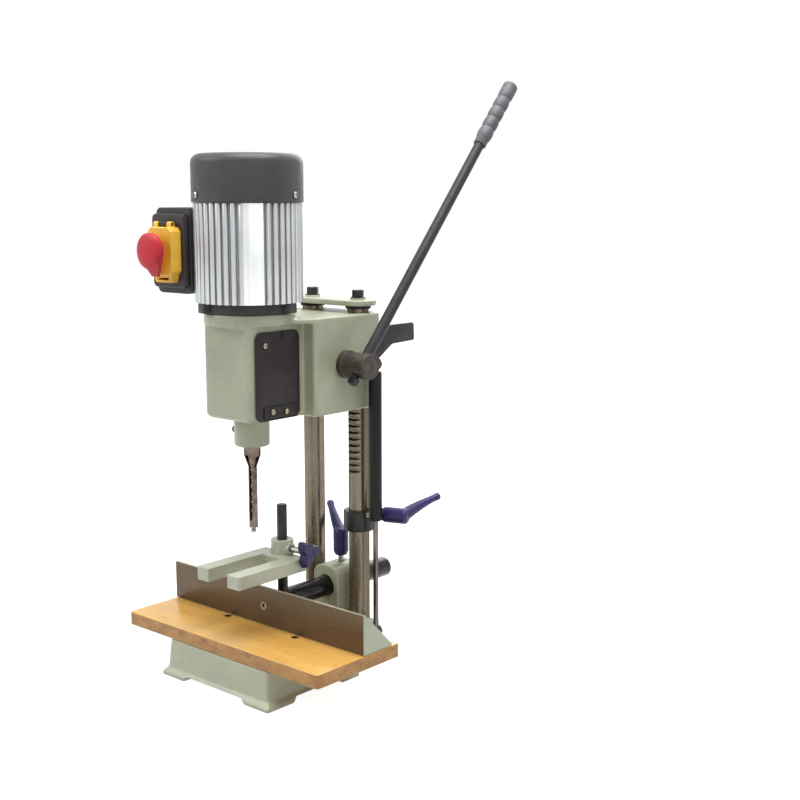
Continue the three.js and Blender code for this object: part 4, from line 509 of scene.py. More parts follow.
# The grooves between the ribs, painted darker grey as the shade that falls in them.
shadedGrooveAluminium = material(
    "paintedShadeAluminiumGroove", "#92979a",
    [("#767b7d", {"size": 1.6, "stretch": (1, 1, 0.004), "detail": 2, "most": 0.5}),
     ("#8d847e", {"size": 34, "most": 0.4})],
    (0.34, 0.5, {"size": 3, "stretch": (1, 1, 0.02)}), [(0.01, {"size": 1.2, "stretch": (1, 1, 0.004)})],
    {"Metallic": 0.6, "Specular Tint": linear("#8a8d90")})
# The same extrusion on its smooth pads, painted near white as a highlight.
highlightPadAluminium = material(
    "paintedHighlightAluminiumPad", "#eceef0",
    [("#c6c9cc", {"size": 2.2, "stretch": (1, 1, 0.004), "detail": 2, "most": 0.35})],
    (0.2, 0.32, {"size": 3, "stretch": (1, 1, 0.02)}), [(0.006, {"size": 1.4, "stretch": (1, 1, 0.004)})],
    {"Metallic": 0.7, "Specular Tint": linear("#c9cccf")})
# Cast and painted end shield, dark grey.
shieldPaint = material(
    "darkGreyPaintedCasting", "#3f3a3b", [("#312d2e", {"size": 12, "detail": 4})], (0.4, 0.54, {"size": 5}),
    [(0.05, {"size": 2.2}), (0.03, {"size": 0.9})], {"Specular IOR Level": 0.3})
# Nitrile rubber rings.
rubber = material(
    "blackNitrileRubber", "#1f1f1d", [("#151514", {"size": 8})], (0.62, 0.76, {"size": 5}), [(0.03, {"size": 0.6})])
# Black polyamide mouldings with a fine spark texture.
blackPlastic = material(
    "blackTexturedPolyamide", "#2c2728", [("#221e1f", {"size": 22})], (0.42, 0.54, {"size": 9}),
    [(0.05, {"size": 0.7, "detail": 2})], {"Specular IOR Level": 0.4})
# Dark grey polypropylene of the fan cover, satin.
coverPlastic = material(
    "greyTexturedPolypropylene", "#4c494d", [("#413e42", {"size": 30})], (0.36, 0.48, {"size": 11}),
    [(0.04, {"size": 0.8, "detail": 2})], {"Specular IOR Level": 0.35})
# Soft vinyl of the lever's grip.
gripPlastic = material(
    "greySoftVinyl", "#67646a", [("#555259", {"size": 16})], (0.46, 0.58, {"size": 7}),
    [(0.04, {"size": 1, "detail": 2})])
# Deep blue-violet polyamide of the clamp levers.
violetPlastic = material(
    "blueVioletPolyamide", "#332a68", [("#262052", {"size": 18})], (0.32, 0.44, {"size": 8}),
    [(0.03, {"size": 0.9, "detail": 2})], {"Specular IOR Level": 0.35})
# The star knob, moulded in a darker violet.
knobPlastic = material(
    "darkVioletPhenolic", "#2b2757", [("#201d42", {"size": 12})], (0.3, 0.42, {"size": 6}),
    [(0.02, {"size": 0.8, "detail": 2})], {"Specular IOR Level": 0.35})
# Glossy ABS mouldings of the switch.
yellowPlastic = material(
    "yellowAbs", "#fdca45", [("#f2b838", {"size": 20})], (0.32, 0.42, {"size": 9}),
    [(0.02, {"size": 0.8, "detail": 2})], {"Coat Weight": 0.15, "Coat Roughness": 0.2})
redPlastic = material(
    "redAbs", "#cb2f3c", [("#b92733", {"size": 20})], (0.34, 0.44, {"size": 9}),
    [(0.02, {"size": 0.8, "detail": 2})], {"Specular IOR Level": 0.3})
greenPlastic = material(
    "greenAbs", "#2f9a55", [("#268747", {"size": 20})], (0.32, 0.42, {"size": 9}),
    [(0.02, {"size": 0.8, "detail": 2})], {"Coat Weight": 0.15, "Coat Roughness": 0.2})
# Electrical sheets: 0.5 mm thick ones, drawn 1.5 mm thick so that they show.
laminations = material(
    "electricalSheetStack", "#6f6c68", [("#4b4845", {"size": 1.5, "bands": "Z", "low": -1, "high": 1})],
    (0.4, 0.5, {"size": 6}), [(0.1, {"size": 1.5, "bands": "Z", "low": -1, "high": 1})], {"Metallic": 1.0})
print("materials made")


def piece(item, body, nodes, finish, angle=35):
    # The finished piece: its material, shading, body and the nodes that it stands for.
    if finish is not None:
        item.data.materials.clear()
        item.data.materials.append(finish)
    shaded(item, angle)
    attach(item, body)
    if nodes:
        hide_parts(*nodes)
    return item


# Camera, lamps and floor

view = {"lens": 56.86, "place": (1049.31, -953.92, 496.07), "pitch": 9.19, "yaw": 40.93}
camera = bpy.data.objects.new("camera", bpy.data.cameras.new("camera"))
camera.data.lens = view["lens"]
camera.location = Vector(view["place"]) * mm
camera.rotation_euler = (math.radians(90 - view["pitch"]), 0, math.radians(view["yaw"]))
camera.data.clip_end = 30
bpy.context.collection.objects.link(camera)
bpy.context.scene.camera = camera
bpy.context.scene.view_settings.view_transform = "Standard"

lamps = {
    "keyLamp": {"place": (-1500, -1900, 1900), "aim": (0, 40, 250), "size": 1500, "power": 32},
    "fillLamp": {"place": (2300, -900, 1100), "aim": (0, 60, 250), "size": 1700, "power": 5},
    "topLamp": {"place": (350, 100, 2500), "aim": (0, 60, 200), "size": 1900, "power": 84},
    "backLamp": {"place": (-900, 2200, 1300), "aim": (0, 60, 250), "size": 1500, "power": 17},
}
for name, lamp in lamps.items():
    light = bpy.data.lights.new(name, "AREA")
    light.size = lamp["size"] * mm
    light.energy = lamp["power"]
    item = bpy.data.objects.new(name, light)
    item.location = Vector(lamp["place"]) * mm
    item.rotation_euler = (Vector(lamp["aim"]) - Vector(lamp["place"])).to_track_quat("-Z", "Y").to_euler()
    bpy.context.collection.objects.link(item)

backdrop = {"half": 6000, "z": -59.6, "sky": 0.29, "glow": 0.9}


def seenDirectly(tree):
    # One for rays of the camera, of mirror images and through glass, and nought for the light on the object.
    rays = addNode(tree, "ShaderNodeLightPath").outputs
    mirrored = addNode(tree, "ShaderNodeMath", {"operation": "MAXIMUM"}, {
        0: rays["Is Camera Ray"], 1: rays["Is Glossy Ray"]})
    return addNode(tree, "ShaderNodeMath", {"operation": "MAXIMUM"}, {
        0: mirrored.outputs[0], 1: rays["Is Transmission Ray"]}).outputs[0]


# White background paper: matt and faintly fibrous, white to the camera, with the object's shadow on it.
paper = material(
    "whitePaperFloor", "#b4b4b2", [("#aeaeac", {"size": 40})], (0.85, 0.95, {"size": 30}),
    [(0.02, {"size": 3})])
glow = addNode(paper.node_tree, "ShaderNodeEmission", {"Color": (1, 1, 1, 1)})
glowing = addNode(paper.node_tree, "ShaderNodeMath", {"operation": "MULTIPLY", 1: backdrop["glow"]}, {
    0: seenDirectly(paper.node_tree)})
paper.node_tree.links.new(glowing.outputs[0], glow.inputs["Strength"])
lit = addNode(paper.node_tree, "ShaderNodeAddShader", None, {
    0: paper.node_tree.nodes["Principled BSDF"].outputs[0], 1: glow.outputs[0]})
paper.node_tree.links.new(lit.outputs[0], paper.node_tree.nodes["Material Output"].inputs[0])

half = backdrop["half"]
corners = [(x, y, backdrop["z"]) for x, y in rectangle((-half, half), (-half, half))]
floor = solid("floor", corners, [[0, 1, 2, 3]])
floor.data.materials.append(paper)

world = bpy.data.worlds.new("studio")
world.use_nodes = True
bpy.context.scene.world = world
strength = addNode(world.node_tree, "ShaderNodeMapRange", {"To Min": backdrop["sky"], "To Max": 1.0}, {
    "Value": seenDirectly(world.node_tree)})
sky = world.node_tree.nodes["Background"]
sky.inputs["Color"].default_value = (1, 1, 1, 1)
world.node_tree.links.new(strength.outputs[0], sky.inputs["Strength"])
print("stage set")


# Stand

# The softened casting gets its hole for the fence clamp's stud again, clean and round.
baseCast = {"voxel": 1.3, "rounds": 3, "lockHole": 3.8, "lockY": 144.5, "lockLow": 16, "lockTop": 50}
s = baseCast
baseCasting = castSoft(fromNode("baseCasting", "base_casting"), s["voxel"], s["rounds"])
cut(baseCasting, rod("lockHole", "z", s["lockHole"], s["lockLow"], s["lockTop"], (0, s["lockY"])))
piece(baseCasting, "stand", ["base_casting"], enamel, 60)

tableTop = {"x": 159, "front": -59.5, "rear": 70.5, "thick": 16, "corners": [1.5, 1.5, 4, 4], "edge": 0.9,
            "screwX": 57, "screwY": 8, "headRadius": 4.9, "headDepth": 2.9, "boreRadius": 2.5}


def makeTable():
    t = tableTop
    outline = fillet(rectangle((-t["x"], t["x"]), (t["front"], t["rear"])), t["corners"], 6)
    top = extruded("woodenTable", "z", outline, -t["thick"], 0, t["edge"])
    holes = [turned("hole", "z", [
        (0, -t["thick"] - 1), (t["boreRadius"], -t["thick"] - 1), (t["boreRadius"], -t["headDepth"]),
        (t["headRadius"], 0), (t["headRadius"], 1), (0, 1)], (side * t["screwX"], t["screwY"]), 32)
        for side in (-1, 1)]
    cut(top, *holes)
    top.data.materials.append(board)
    top.data.materials.append(edge)
    for face in top.data.polygons:
        face.material_index = 0 if abs(face.normal.z) > 0.6 else 1
    return top


piece(makeTable(), "stand", ["wooden_table"], None)

tableScrews = {"x": 57, "y": 8, "length": 24, "shank": 2.2, "headDepth": 2.6, "headRadius": 4.6, "drive": 1.7,
               "driveDepth": 1.5, "top": -0.3}


def makeTableScrews():
    s = tableScrews
    middle = (-s["x"], s["y"])
    screw = turned("tableScrews", "z", [
        (0, -s["length"]), (s["shank"], -s["length"]), (s["shank"], -s["headDepth"]), (s["headRadius"], s["top"]),
        (0, s["top"])], middle, 40)
    drive = rod("drive", "z", s["drive"], s["top"] - s["driveDepth"], s["top"] + 1, middle, steps=6)
    return repeated(cut(screw, drive), 2, (2 * s["x"], 0, 0), finish=blackOxide)


piece(makeTableScrews(), "stand", ["table_screw_left", "table_screw_right"], blackOxide)

columns = {"x": 37.5, "y": 137.5, "radius": 12.5, "bottom": -53.1, "top": 368.5, "edge": 0.8, "bore": 5.3,
           "boreDepth": 22}
rackTeeth = {"middle": 305, "pitch": 2.5 * math.pi, "below": 17, "above": 3, "depth": 5.6, "module": 2.5,
             "slope": math.tan(math.radians(20)), "backlash": 0.5}


def makeColumn(name, side):
    c = columns
    middle = (side * c["x"], c["y"])
    bar = rod(name, "z", c["radius"], c["bottom"], c["top"], middle, c["edge"], 96)
    cut(bar, rod("bore", "z", c["bore"], c["top"] - c["boreDepth"], c["top"] + 1, middle))
    if side > 0:
        r = rackTeeth
        face = c["y"] - c["radius"]
        quarter = r["pitch"] / 4 + r["backlash"] / 4
        mouth = quarter + r["slope"] * (r["module"] + 2)
        root = quarter - r["slope"] * (r["depth"] - r["module"])
        low = r["middle"] - r["below"] * r["pitch"]
        outline = fillet([
            (face - 2, low - mouth), (face + r["depth"], low - root), (face + r["depth"], low + root),
            (face - 2, low + mouth)], [0, 0.6, 0.6, 0], 3)
        space = extruded("space", "x", outline, c["x"] - c["radius"] - 1, c["x"] + c["radius"] + 1)
        spaces = repeated(space, r["below"] + r["above"] + 1, (0, 0, r["pitch"]))
        cut(bar, spaces)
        softened(bar, 0.3, 2, 40)
    return bar


for name, side in (("left", -1), ("right", 1)):
    piece(makeColumn(f"column{name.title()}", side), "stand", [f"column_{name}"], columnSteel)

topPlate = {"radius": 21.5, "low": 368.8, "high": 375.4, "edge": 1.4, "bossRadius": 9.6, "bossTop": 377.2,
            "bore": 5.3}


def makeTopPlate():
    p, c = topPlate, columns
    arc = [math.pi / 2 * step / 16 for step in range(-16, 17)]
    outline = [(c["x"] + p["radius"] * math.cos(a), c["y"] + p["radius"] * math.sin(a)) for a in arc]
    outline += [(-u, 2 * c["y"] - v) for u, v in outline]
    plate = extruded("columnTopPlate", "z", outline, p["low"], p["high"], p["edge"])
    for side in (-1, 1):
        middle = (side * c["x"], c["y"])
        joined(plate, rod("boss", "z", p["bossRadius"], p["high"] - 1, p["bossTop"], middle, 0.5))
        cut(plate, rod("bore", "z", p["bore"], p["low"] - 1, p["bossTop"] + 1, middle))
    return plate


piece(makeTopPlate(), "stand", ["column_top_plate"], smoothEnamel)

topBolts = {"seat": 377.5, "flange": 8.9, "flangeHigh": 1.6, "head": 7.4, "headHigh": 7.6, "shank": 5, "low": 353.4,
            "crown": 1.1, "recess": 3.6, "recessDeep": 0.7}


def makeTopBolts():
    b, c = topBolts, columns
    middle = (-c["x"], c["y"])
    collar = b["seat"] + b["flangeHigh"]
    top = collar + b["headHigh"]
    bolt = turned("columnTopBolts", "z", [
        (0, b["low"]), (b["shank"], b["low"]), (b["shank"], b["seat"]), (b["flange"], b["seat"]),
        (b["flange"], b["seat"] + 0.6), (b["head"] * 0.9, collar), (0, collar)], middle, 48)
    hexagon = rod("hexagon", "z", b["head"], b["seat"] + 0.5, top, middle, steps=6)
    crown = turned("crown", "z", [
        (0, b["seat"] - 1), (b["head"] + 1, b["seat"] - 1), (b["head"] + 1, top - b["crown"] - 0.6),
        (b["head"] - b["crown"], top), (0, top)], middle, 48)
    combined(hexagon, "INTERSECT", [crown])
    joined(bolt, hexagon)
    cut(bolt, turned("dish", "z", [
        (0, top - b["recessDeep"]), (b["recess"], top), (b["recess"], top + 1), (0, top + 1)], middle, 48))
    return repeated(bolt, 2, (2 * c["x"], 0, 0), finish=blackOxide)


piece(makeTopBolts(), "stand", ["column_top_bolt_left", "column_top_bolt_right"], blackOxide)

bufferRings = {"outer": 15, "inner": 12.8, "low": 364.9, "high": 368.5, "edge": 0.7}


def makeBuffers():
    b, c = bufferRings, columns
    ring = turned("bufferRings", "z", [
        (b["inner"], b["low"]), (b["outer"], b["low"]), (b["outer"], b["high"]), (b["inner"], b["high"])],
        (-c["x"], c["y"]), 64, b["edge"])
    return repeated(ring, 2, (2 * c["x"], 0, 0), finish=rubber)


piece(makeBuffers(), "stand", ["buffer_ring_left", "buffer_ring_right"], rubber)

strutSizes = {"x": 71.5, "y": 129.5, "rod": 3.1, "rodFoot": 5.9, "eye": 7.6, "eyeHalf": 3.5, "bolt": 4.2,
              "lowEye": -21.5, "highEye": 302.5, "tube": 7.75, "tubeLow": 115.2, "tubeHigh": 294, "bore": 6.2,
              "gland": 9, "neck": 3.3, "pistonTop": 149.2, "pistonLow": 141.2, "slack": 0.3}


def strutEye(z):
    s = strutSizes
    return rod("eye", "x", s["eye"], s["x"] - s["eyeHalf"], s["x"] + s["eyeHalf"], (s["y"], z), 0.8)


def strutHole(z):
    s = strutSizes
    return rod("hole", "x", s["bolt"], s["x"] - s["eyeHalf"] - 1, s["x"] + s["eyeHalf"] + 1, (s["y"], z))


def makeStrutRod():
    s = strutSizes
    middle = (s["x"], s["y"])
    low, piston = s["lowEye"] + s["rodFoot"], s["bore"] - s["slack"]
    bar = turned("strutRod", "z", [
        (0, low), (s["rod"], low), (s["rod"], s["pistonLow"]), (piston, s["pistonLow"]),
        (piston, s["pistonTop"]), (0, s["pistonTop"])], middle, 48)
    joined(bar, strutEye(s["lowEye"]))
    return cut(bar, strutHole(s["lowEye"]))


def makeStrutTube():
    s = strutSizes
    middle = (s["x"], s["y"])
    hole, low, high = s["rod"] + s["slack"], s["tubeLow"], s["tubeHigh"]
    tube = turned("strutTube", "z", [
        (hole, low), (s["tube"], low), (s["tube"], high), (0, high), (0, high - s["gland"]),
        (s["bore"], high - s["gland"]), (s["bore"], low + s["gland"]), (hole, low + s["gland"])],
        middle, 64, [0.3, 1.6, 2.4, 0, 0, 0.3, 0.3, 0.3])
    joined(tube, rod("neck", "z", s["neck"], high - 2, s["highEye"], middle), strutEye(s["highEye"]))
    return cut(tube, strutHole(s["highEye"]))


piece(makeStrutRod(), "stand", ["strut_rod"], rodSteel)
piece(makeStrutTube(), "head", ["strut_tube"], strutPaint)
print("stand made")


# Small fittings that keep the CAD shape, with their edges rounded

fittings = [
    ("strutLowerBolt", "strut_lower_bolt", "stand", blackOxide, "black_steel", 0.4),
    ("strutUpperBolt", "strut_upper_bolt", "head", blackOxide, "black_steel", 0.4),
    ("holdDownStud", "hold_down_stud", "hold_down_clamp", zinc, "bright_steel", 0.3),
    ("fenceLockStud", "fence_lock_stud", "fence_lock", zinc, "bright_steel", 0.3),
    ("depthStopStud", "depth_stop_stud", "depth_stop_clamp", zinc, "bright_steel", 0.3),
    ("depthStopScrew", "depth_stop_screw", "depth_stop", zinc, "bright_steel", 0.3),
    ("chiselLockScrew", "chisel_lock_screw", "head", blackOxide, "black_steel", 0.4),
    ("hubSetScrew", "hub_set_screw", "feed_shaft", blackOxide, "black_steel", 0.7),
    ("motorTopShield", "motor_top_shield", "head", aluminium, "motor_aluminium", 0.6),
    ("motorStator", "motor_stator", "head", laminations, "lamination_steel", 0.4),
    ("bearingLower", "bearing_lower", "head", zinc, "bright_steel", 0.5),
    ("bearingUpper", "bearing_upper", "head", zinc, "bright_steel", 0.5),
    ("rotorShaft", "rotor_shaft", "spindle", columnSteel, "bright_steel", 0.4),
    ("coolingFan", "cooling_fan", "spindle", blackPlastic, "black_plastic", 0.4),
    ("drillChuck", "drill_chuck", "spindle", blackOxide, "black_steel", 0.8),
    ("pinionShaft", "pinion_shaft", "feed_shaft", columnSteel, "ground_bar", 0.2),
    ("startButton", "start_button", "start_push", greenPlastic, "green_plastic", 0.6),
    ("stopButton", "stop_button", "stop_push", redPlastic, "red_plastic", 0.6),
]
for name, node, body, finish, slot, width in fittings:
    piece(softened(fromNode(name, node), width), body, [node], finish)
print("fittings made")


# Fence and hold-down

fenceSizes = {"x": 159, "front": 12.8, "back": 16, "low": 0.6, "high": 46.6, "depth": 43, "side": 4, "flange": 2.4,
              "edge": 0.45, "corner": 0.8, "screwZ": 23.5, "screwHead": 5.1, "screwDeep": 2.9, "screwBore": 3.2}


def makeFence():
    f = fenceSizes
    wide = (-f["x"], f["x"])
    outline = fillet(rectangle(wide, (f["low"], f["high"])), f["corner"])
    plate = extruded("fence", "y", outline, f["front"], f["back"], f["edge"])
    near, rear, step = f["back"] - 0.5, f["back"] + f["depth"], f["low"] + f["flange"]
    flange = extruded("flange", "z", rectangle(wide, (near, rear)), f["low"], step, f["edge"])
    side = fillet([(near, f["low"]), (rear, f["low"]), (rear, step), (near, f["high"])], [0] + 3 * [f["corner"]])
    left = extruded("left", "x", side, -f["x"], -f["x"] + f["side"], f["edge"])
    right = extruded("right", "x", side, f["x"] - f["side"], f["x"], f["edge"])
    joined(plate, flange, left, right)
    cut(plate, turned("hole", "y", [
        (0, f["front"] - 1), (f["screwHead"], f["front"] - 1), (f["screwHead"], f["front"]),
        (f["screwBore"], f["front"] + f["screwDeep"]), (f["screwBore"], f["back"] + 1), (0, f["back"] + 1)],
        (0, f["screwZ"]), 48))
    plate.data.materials.append(smoothEnamel)
    plate.data.materials.append(fenceSteel)
    plate.data.materials.append(fenceRimHighlight)
    for face in plate.data.polygons:
        # The front faces take the brown painted reflection.
        ahead = face.center.y < (f["front"] + 0.02) * mm
        # Upward faces on the top rim take the painted highlight.
        rim = face.normal.z > 0.3 and face.center.z > (f["high"] - 1) * mm
        face.material_index = 1 if ahead else 2 if rim else 0
    return plate


piece(makeFence(), "fence_carriage", ["fence"], None)

fenceScrewSizes = {"head": 4.8, "deep": 2.6, "shank": 2.9, "long": 22, "drive": 2.3, "driveDeep": 2.2}


def makeFenceScrew():
    s, f = fenceScrewSizes, fenceSizes
    face = f["front"] + 0.3
    middle = (0, f["screwZ"])
    screw = turned("fenceScrew", "y", [
        (0, face), (s["head"] - 0.3, face), (s["head"], face + 0.3), (s["shank"], face + s["deep"]),
        (s["shank"], f["front"] + s["long"]), (0, f["front"] + s["long"])], middle, 48)
    return cut(screw, rod("drive", "y", s["drive"], face - 1, face + s["driveDeep"], middle, steps=6))


piece(makeFenceScrew(), "fence_carriage", ["fence_screw"], brass)

slideBar = {"radius": 12.5, "z": 23.5, "front": 16.3, "rear": 225, "edge": 1.5, "postY": 44.5, "postRadius": 6.3,
            "postDeep": 14, "bore": 3.2, "boreEnd": 37}
postSizes = {"radius": 6, "top": 139.5, "low": 22.3, "edge": 1.2}


def makeSlideBar():
    b = slideBar
    middle = (0, b["z"])
    bar = turned("fenceSlideBar", "y", [
        (0, b["front"]), (b["radius"], b["front"]), (b["radius"], b["rear"]), (0, b["rear"])],
        middle, 96, [0, 0.6, b["edge"], 0])
    top = b["z"] + b["radius"]
    return cut(bar, rod("seat", "z", b["postRadius"], top - b["postDeep"], top + 2, (0, b["postY"])),
               rod("bore", "y", b["bore"], b["front"] - 1, b["boreEnd"], middle))


def makePost():
    p = postSizes
    return turned("holdDownPost", "z", [
        (0, p["low"]), (p["radius"], p["low"]), (p["radius"], p["top"]), (0, p["top"])],
        (0, slideBar["postY"]), 64, [0, 0.4, p["edge"], 0])


piece(makeSlideBar(), "fence_carriage", ["fence_slide_bar"], polishedBlack)
piece(makePost(), "fence_carriage", ["hold_down_post"], blackOxide)

forkCast = {"voxel": 0.55, "rounds": 4}
holdDownFork = castSoft(fromNode("holdDownFork", "hold_down_fork"), forkCast["voxel"], forkCast["rounds"])
piece(holdDownFork, "hold_down", ["hold_down_fork"], smoothEnamel, 60)

knobSizes = {"start": 37.5, "thick": 11, "radius": 18.5, "waist": 8.5, "lobes": 3, "phase": 8, "point": 1.25,
             "y": 44.5, "z": 88, "edge": 2.6, "taper": 0.92, "hub": 7, "bore": 3.9, "boreDeep": 5.8,
             "dishDeep": 0.7, "dishFloor": 4.8, "dishRim": 5.6, "voxel": 0.4, "rounds": 5}


def makeKnob():
    # Three pointed lobes that narrow a little towards the front, round a short hub.
    k = knobSizes
    middle = (k["y"], k["z"])
    outline = []
    for step in range(120):
        angle = 2 * math.pi * step / 120
        share = abs((k["lobes"] * (angle - math.radians(k["phase"])) / (2 * math.pi)) % 1 - 0.5) * 2
        radius = k["waist"] + (k["radius"] - k["waist"]) * share ** k["point"]
        outline.append((radius * math.cos(angle), radius * math.sin(angle)))
    levels = []
    for step in range(6):
        turn = math.pi / 2 * step / 5
        along = k["start"] + k["edge"] * (1 - math.sin(turn))
        levels.insert(0, (along, 1 - k["edge"] * (1 - math.cos(turn)) / k["radius"]))
    levels += [(2 * k["start"] + k["thick"] - along, share * k["taper"]) for along, share in reversed(levels)]
    rings = [[(along, k["y"] + u * share, k["z"] + v * share) for u, v in outline] for along, share in levels]
    knob = castSoft(lofted("holdDownKnob", rings), k["voxel"], k["rounds"])
    face = k["start"] + k["thick"]
    joined(knob, rod("hub", "x", k["hub"], k["start"] + 2, face, middle, 0.8))
    cut(knob, turned("dish", "x", [
        (0, face - k["dishDeep"]), (k["dishFloor"], face - k["dishDeep"]), (k["dishRim"], face + 1), (0, face + 1)],
        middle, 48))
    cut(knob, rod("bore", "x", k["bore"], k["start"] - 1, k["start"] + k["boreDeep"], middle))
    return knob


piece(makeKnob(), "hold_down_clamp", ["hold_down_knob"], knobPlastic, 50)

# The arm is thinnest at the share "neckAt" of its length and rounds off from the share "roundFrom".
leverSizes = {"foot": 7.4, "radius": 9.4, "high": 34, "footHigh": 5, "bore": 3.8, "boreDeep": 17.3, "root": 26.6,
              "lean": 29, "long": 60.4, "bow": 2.2, "thick": 8.2, "neck": 4.3, "tip": 4.9, "neckAt": 0.8,
              "roundFrom": 0.93, "voxel": 0.55, "rounds": 5}


def makeClampLever(name):
    # The hub stands on its own Z axis; the arm leans outwards along X, bows upwards and ends in a small bulb.
    s = leverSizes
    hub = turned(name, "z", [
        (0, 0), (s["foot"], 0), (s["radius"], s["footHigh"]), (s["radius"], s["high"]), (0, s["high"])],
        origin, 64, [0, 0.8, 3, 4.5, 0])
    lean = math.radians(s["lean"])
    path, radii = [], []
    for step in range(33):
        share = step / 32
        along = s["long"] * share
        bow = s["bow"] * math.sin(math.pi * share)
        height = s["root"] + along * math.sin(lean) - bow * math.cos(lean)
        path.append((along * math.cos(lean) + bow * math.sin(lean), 0, height))
        radius = s["thick"] + (s["neck"] - s["thick"]) * min(share / s["neckAt"], 1)
        radius += (s["tip"] - s["neck"]) * max(share - s["neckAt"], 0) / (1 - s["neckAt"])
        tip = max(0.0, share - s["roundFrom"]) / (1 - s["roundFrom"])
        radii.append(max(radius * math.sqrt(max(1 - tip * tip, 0)), 0.6))
    joined(hub, swept("arm", path, radii))
    castSoft(hub, s["voxel"], s["rounds"])
    return cut(hub, rod("bore", "z", s["bore"], -1, s["boreDeep"], origin))


lockLever = makeClampLever("fenceLockLever")
lockPlace = {"y": 144.5, "z": 57, "heading": 149}
movedBy(lockLever, shift(0, lockPlace["y"], lockPlace["z"]) @ spin(lockPlace["heading"], "z"))
piece(lockLever, "fence_lock", ["fence_lock_lever"], violetPlastic, 50)

stopSizes = {"x": 37.5, "y": 137.5, "low": 97.5, "high": 24, "radius": 18.8, "bore": 12.8, "edge": 1, "rise": 21,
             "heading": 19, "boss": 4.9, "bossEnd": 27, "stud": 3.8, "screwHeading": -15, "screw": 2.9, "hub": 30,
             "turn": 109}


def makeStopCollar():
    s = stopSizes
    collar = turned("depthStopCollar", "z", [
        (s["bore"], 0), (s["radius"], 0), (s["radius"], s["high"]), (s["bore"], s["high"])], origin, 96, s["edge"])
    middle, heading = (0, s["rise"]), spin(s["heading"], "z")
    boss = movedBy(rod("boss", "x", s["boss"], s["bore"] + 2, s["bossEnd"], middle, 0.6), heading)
    stud = movedBy(rod("stud", "x", s["stud"], 0, s["bossEnd"] + 2, middle), heading)
    screw = movedBy(rod("screw", "x", s["screw"], 0, s["radius"] + 2, middle), spin(s["screwHeading"], "z"))
    joined(collar, boss)
    cut(collar, stud, screw)
    return movedBy(collar, shift(s["x"], s["y"], s["low"]))


piece(makeStopCollar(), "depth_stop", ["depth_stop_collar"], blackOxide)
stopLever = makeClampLever("depthStopLever")
s = stopSizes
movedBy(stopLever, shift(s["x"], s["y"], s["low"] + s["rise"]) @ spin(s["heading"], "z") @ shift(s["hub"])
        @ spin(90, "y") @ spin(s["turn"], "z"))
piece(stopLever, "depth_stop_clamp", ["depth_stop_lever"], violetPlastic, 50)
print("fence, hold-down and depth stop made")


# Head

headCast = {"voxel": 1.5, "rounds": 3}
headCasting = castSoft(fromNode("headCasting", "head_casting"), headCast["voxel"], headCast["rounds"])
piece(headCasting, "head", ["head_casting"], enamel, 60)
print("head casting has", len(headCasting.data.polygons), "faces")

coverSizes = {"inner": 40.8, "outer": 43.4, "front": -31.5, "rear": 34.5, "low": 250.6, "high": 349, "corner": 8,
              "edge": 0.9, "notchFront": -4.5, "notchRear": 9, "notchDeep": 8, "notchFloor": 42.2,
              "panelFront": -21, "panelRear": 27, "panelLow": 253.2, "panelHigh": 266.5, "panelStep": 0.8,
              "grooveWide": 1.1, "groove": 0.45, "bore": 1.9}
coverScrews = {"upper": (-17.5, 334.3, 43.7), "front": (-8, 260.2, 44.5), "rear": (13, 258.6, 44.5)}


def makeAccessCover():
    c = coverSizes
    outline = fillet(rectangle((c["front"], c["rear"]), (c["low"], c["high"])), c["corner"], 6)
    cover = extruded("accessCover", "x", outline, c["inner"], c["outer"], c["edge"])
    notch = rectangle((c["notchFront"], c["notchRear"]), (c["high"] - c["notchDeep"], c["high"] + 4))
    cut(cover, extruded("notch", "x", fillet(notch, [0, 0, 1.6, 1.6]), c["notchFloor"], c["outer"] + 1))
    y, z, out = (c["panelFront"], c["panelRear"]), (c["panelLow"], c["panelHigh"]), c["grooveWide"]
    rim = fillet(rectangle((y[0] - out, y[1] + out), (z[0] - out, z[1] + out)), 2.4)
    cut(cover, extruded("groove", "x", rim, c["outer"] - c["groove"], c["outer"] + 1))
    raised = fillet(rectangle(y, z), 1.6)
    joined(cover, extruded("panel", "x", raised, c["inner"] + 1, c["outer"] + c["panelStep"], 0.35))
    holes = [rod("hole", "x", c["bore"], c["inner"] - 1, c["outer"] + 2, (y, z))
             for y, z, seat in coverScrews.values()]
    return softened(cut(cover, *holes), 0.25, 2, 40)


piece(makeAccessCover(), "head", ["access_cover"], coverPaint)

smallScrews = {"head": 3.4, "high": 1.8, "shank": 1.8, "long": 7, "crossHalf": 2, "crossWide": 0.75, "crossDeep": 1}


def makeSmallScrew(name, seat, middle, head):
    # A pan head with a cross drive; the head stands on its seat along X.
    s = smallScrews
    top = seat + s["high"]
    screw = turned(name, "x", [
        (0, seat - s["long"]), (s["shank"], seat - s["long"]), (s["shank"], seat), (head, seat), (head, seat + 0.7),
        (head * 0.55, top), (0, top)], middle, 48, [0, 0.4, 0, 0.2, 0.5, 0.8, 0])
    half, wide = s["crossHalf"], s["crossWide"] / 2
    for u, v in ((half, wide), (wide, half)):
        slot = rectangle((middle[0] - u, middle[0] + u), (middle[1] - v, middle[1] + v))
        cut(screw, extruded("cross", "x", slot, top - s["crossDeep"], top + 1))
    return screw


for name, (y, z, seat) in coverScrews.items():
    screw = makeSmallScrew(f"accessCoverScrew{name.title()}", seat, (y, z), smallScrews["head"])
    piece(screw, "head", [f"access_cover_screw_{name}"], brass)

chiselSizes = {"half": 3.65, "corner": 0.35, "tip": 119.4, "squareTop": 190.4, "shoulder": 4.38, "cone": 205.5,
               "shank": 9.5, "top": 247, "bore": 2.8, "pointHigh": 2, "slot": 2, "slotLow": 129, "slotHigh": 198,
               "window": 2.5, "windowLow": 191, "windowHigh": 204, "mouth": 3, "mouthLow": 191, "mouthHigh": 206}


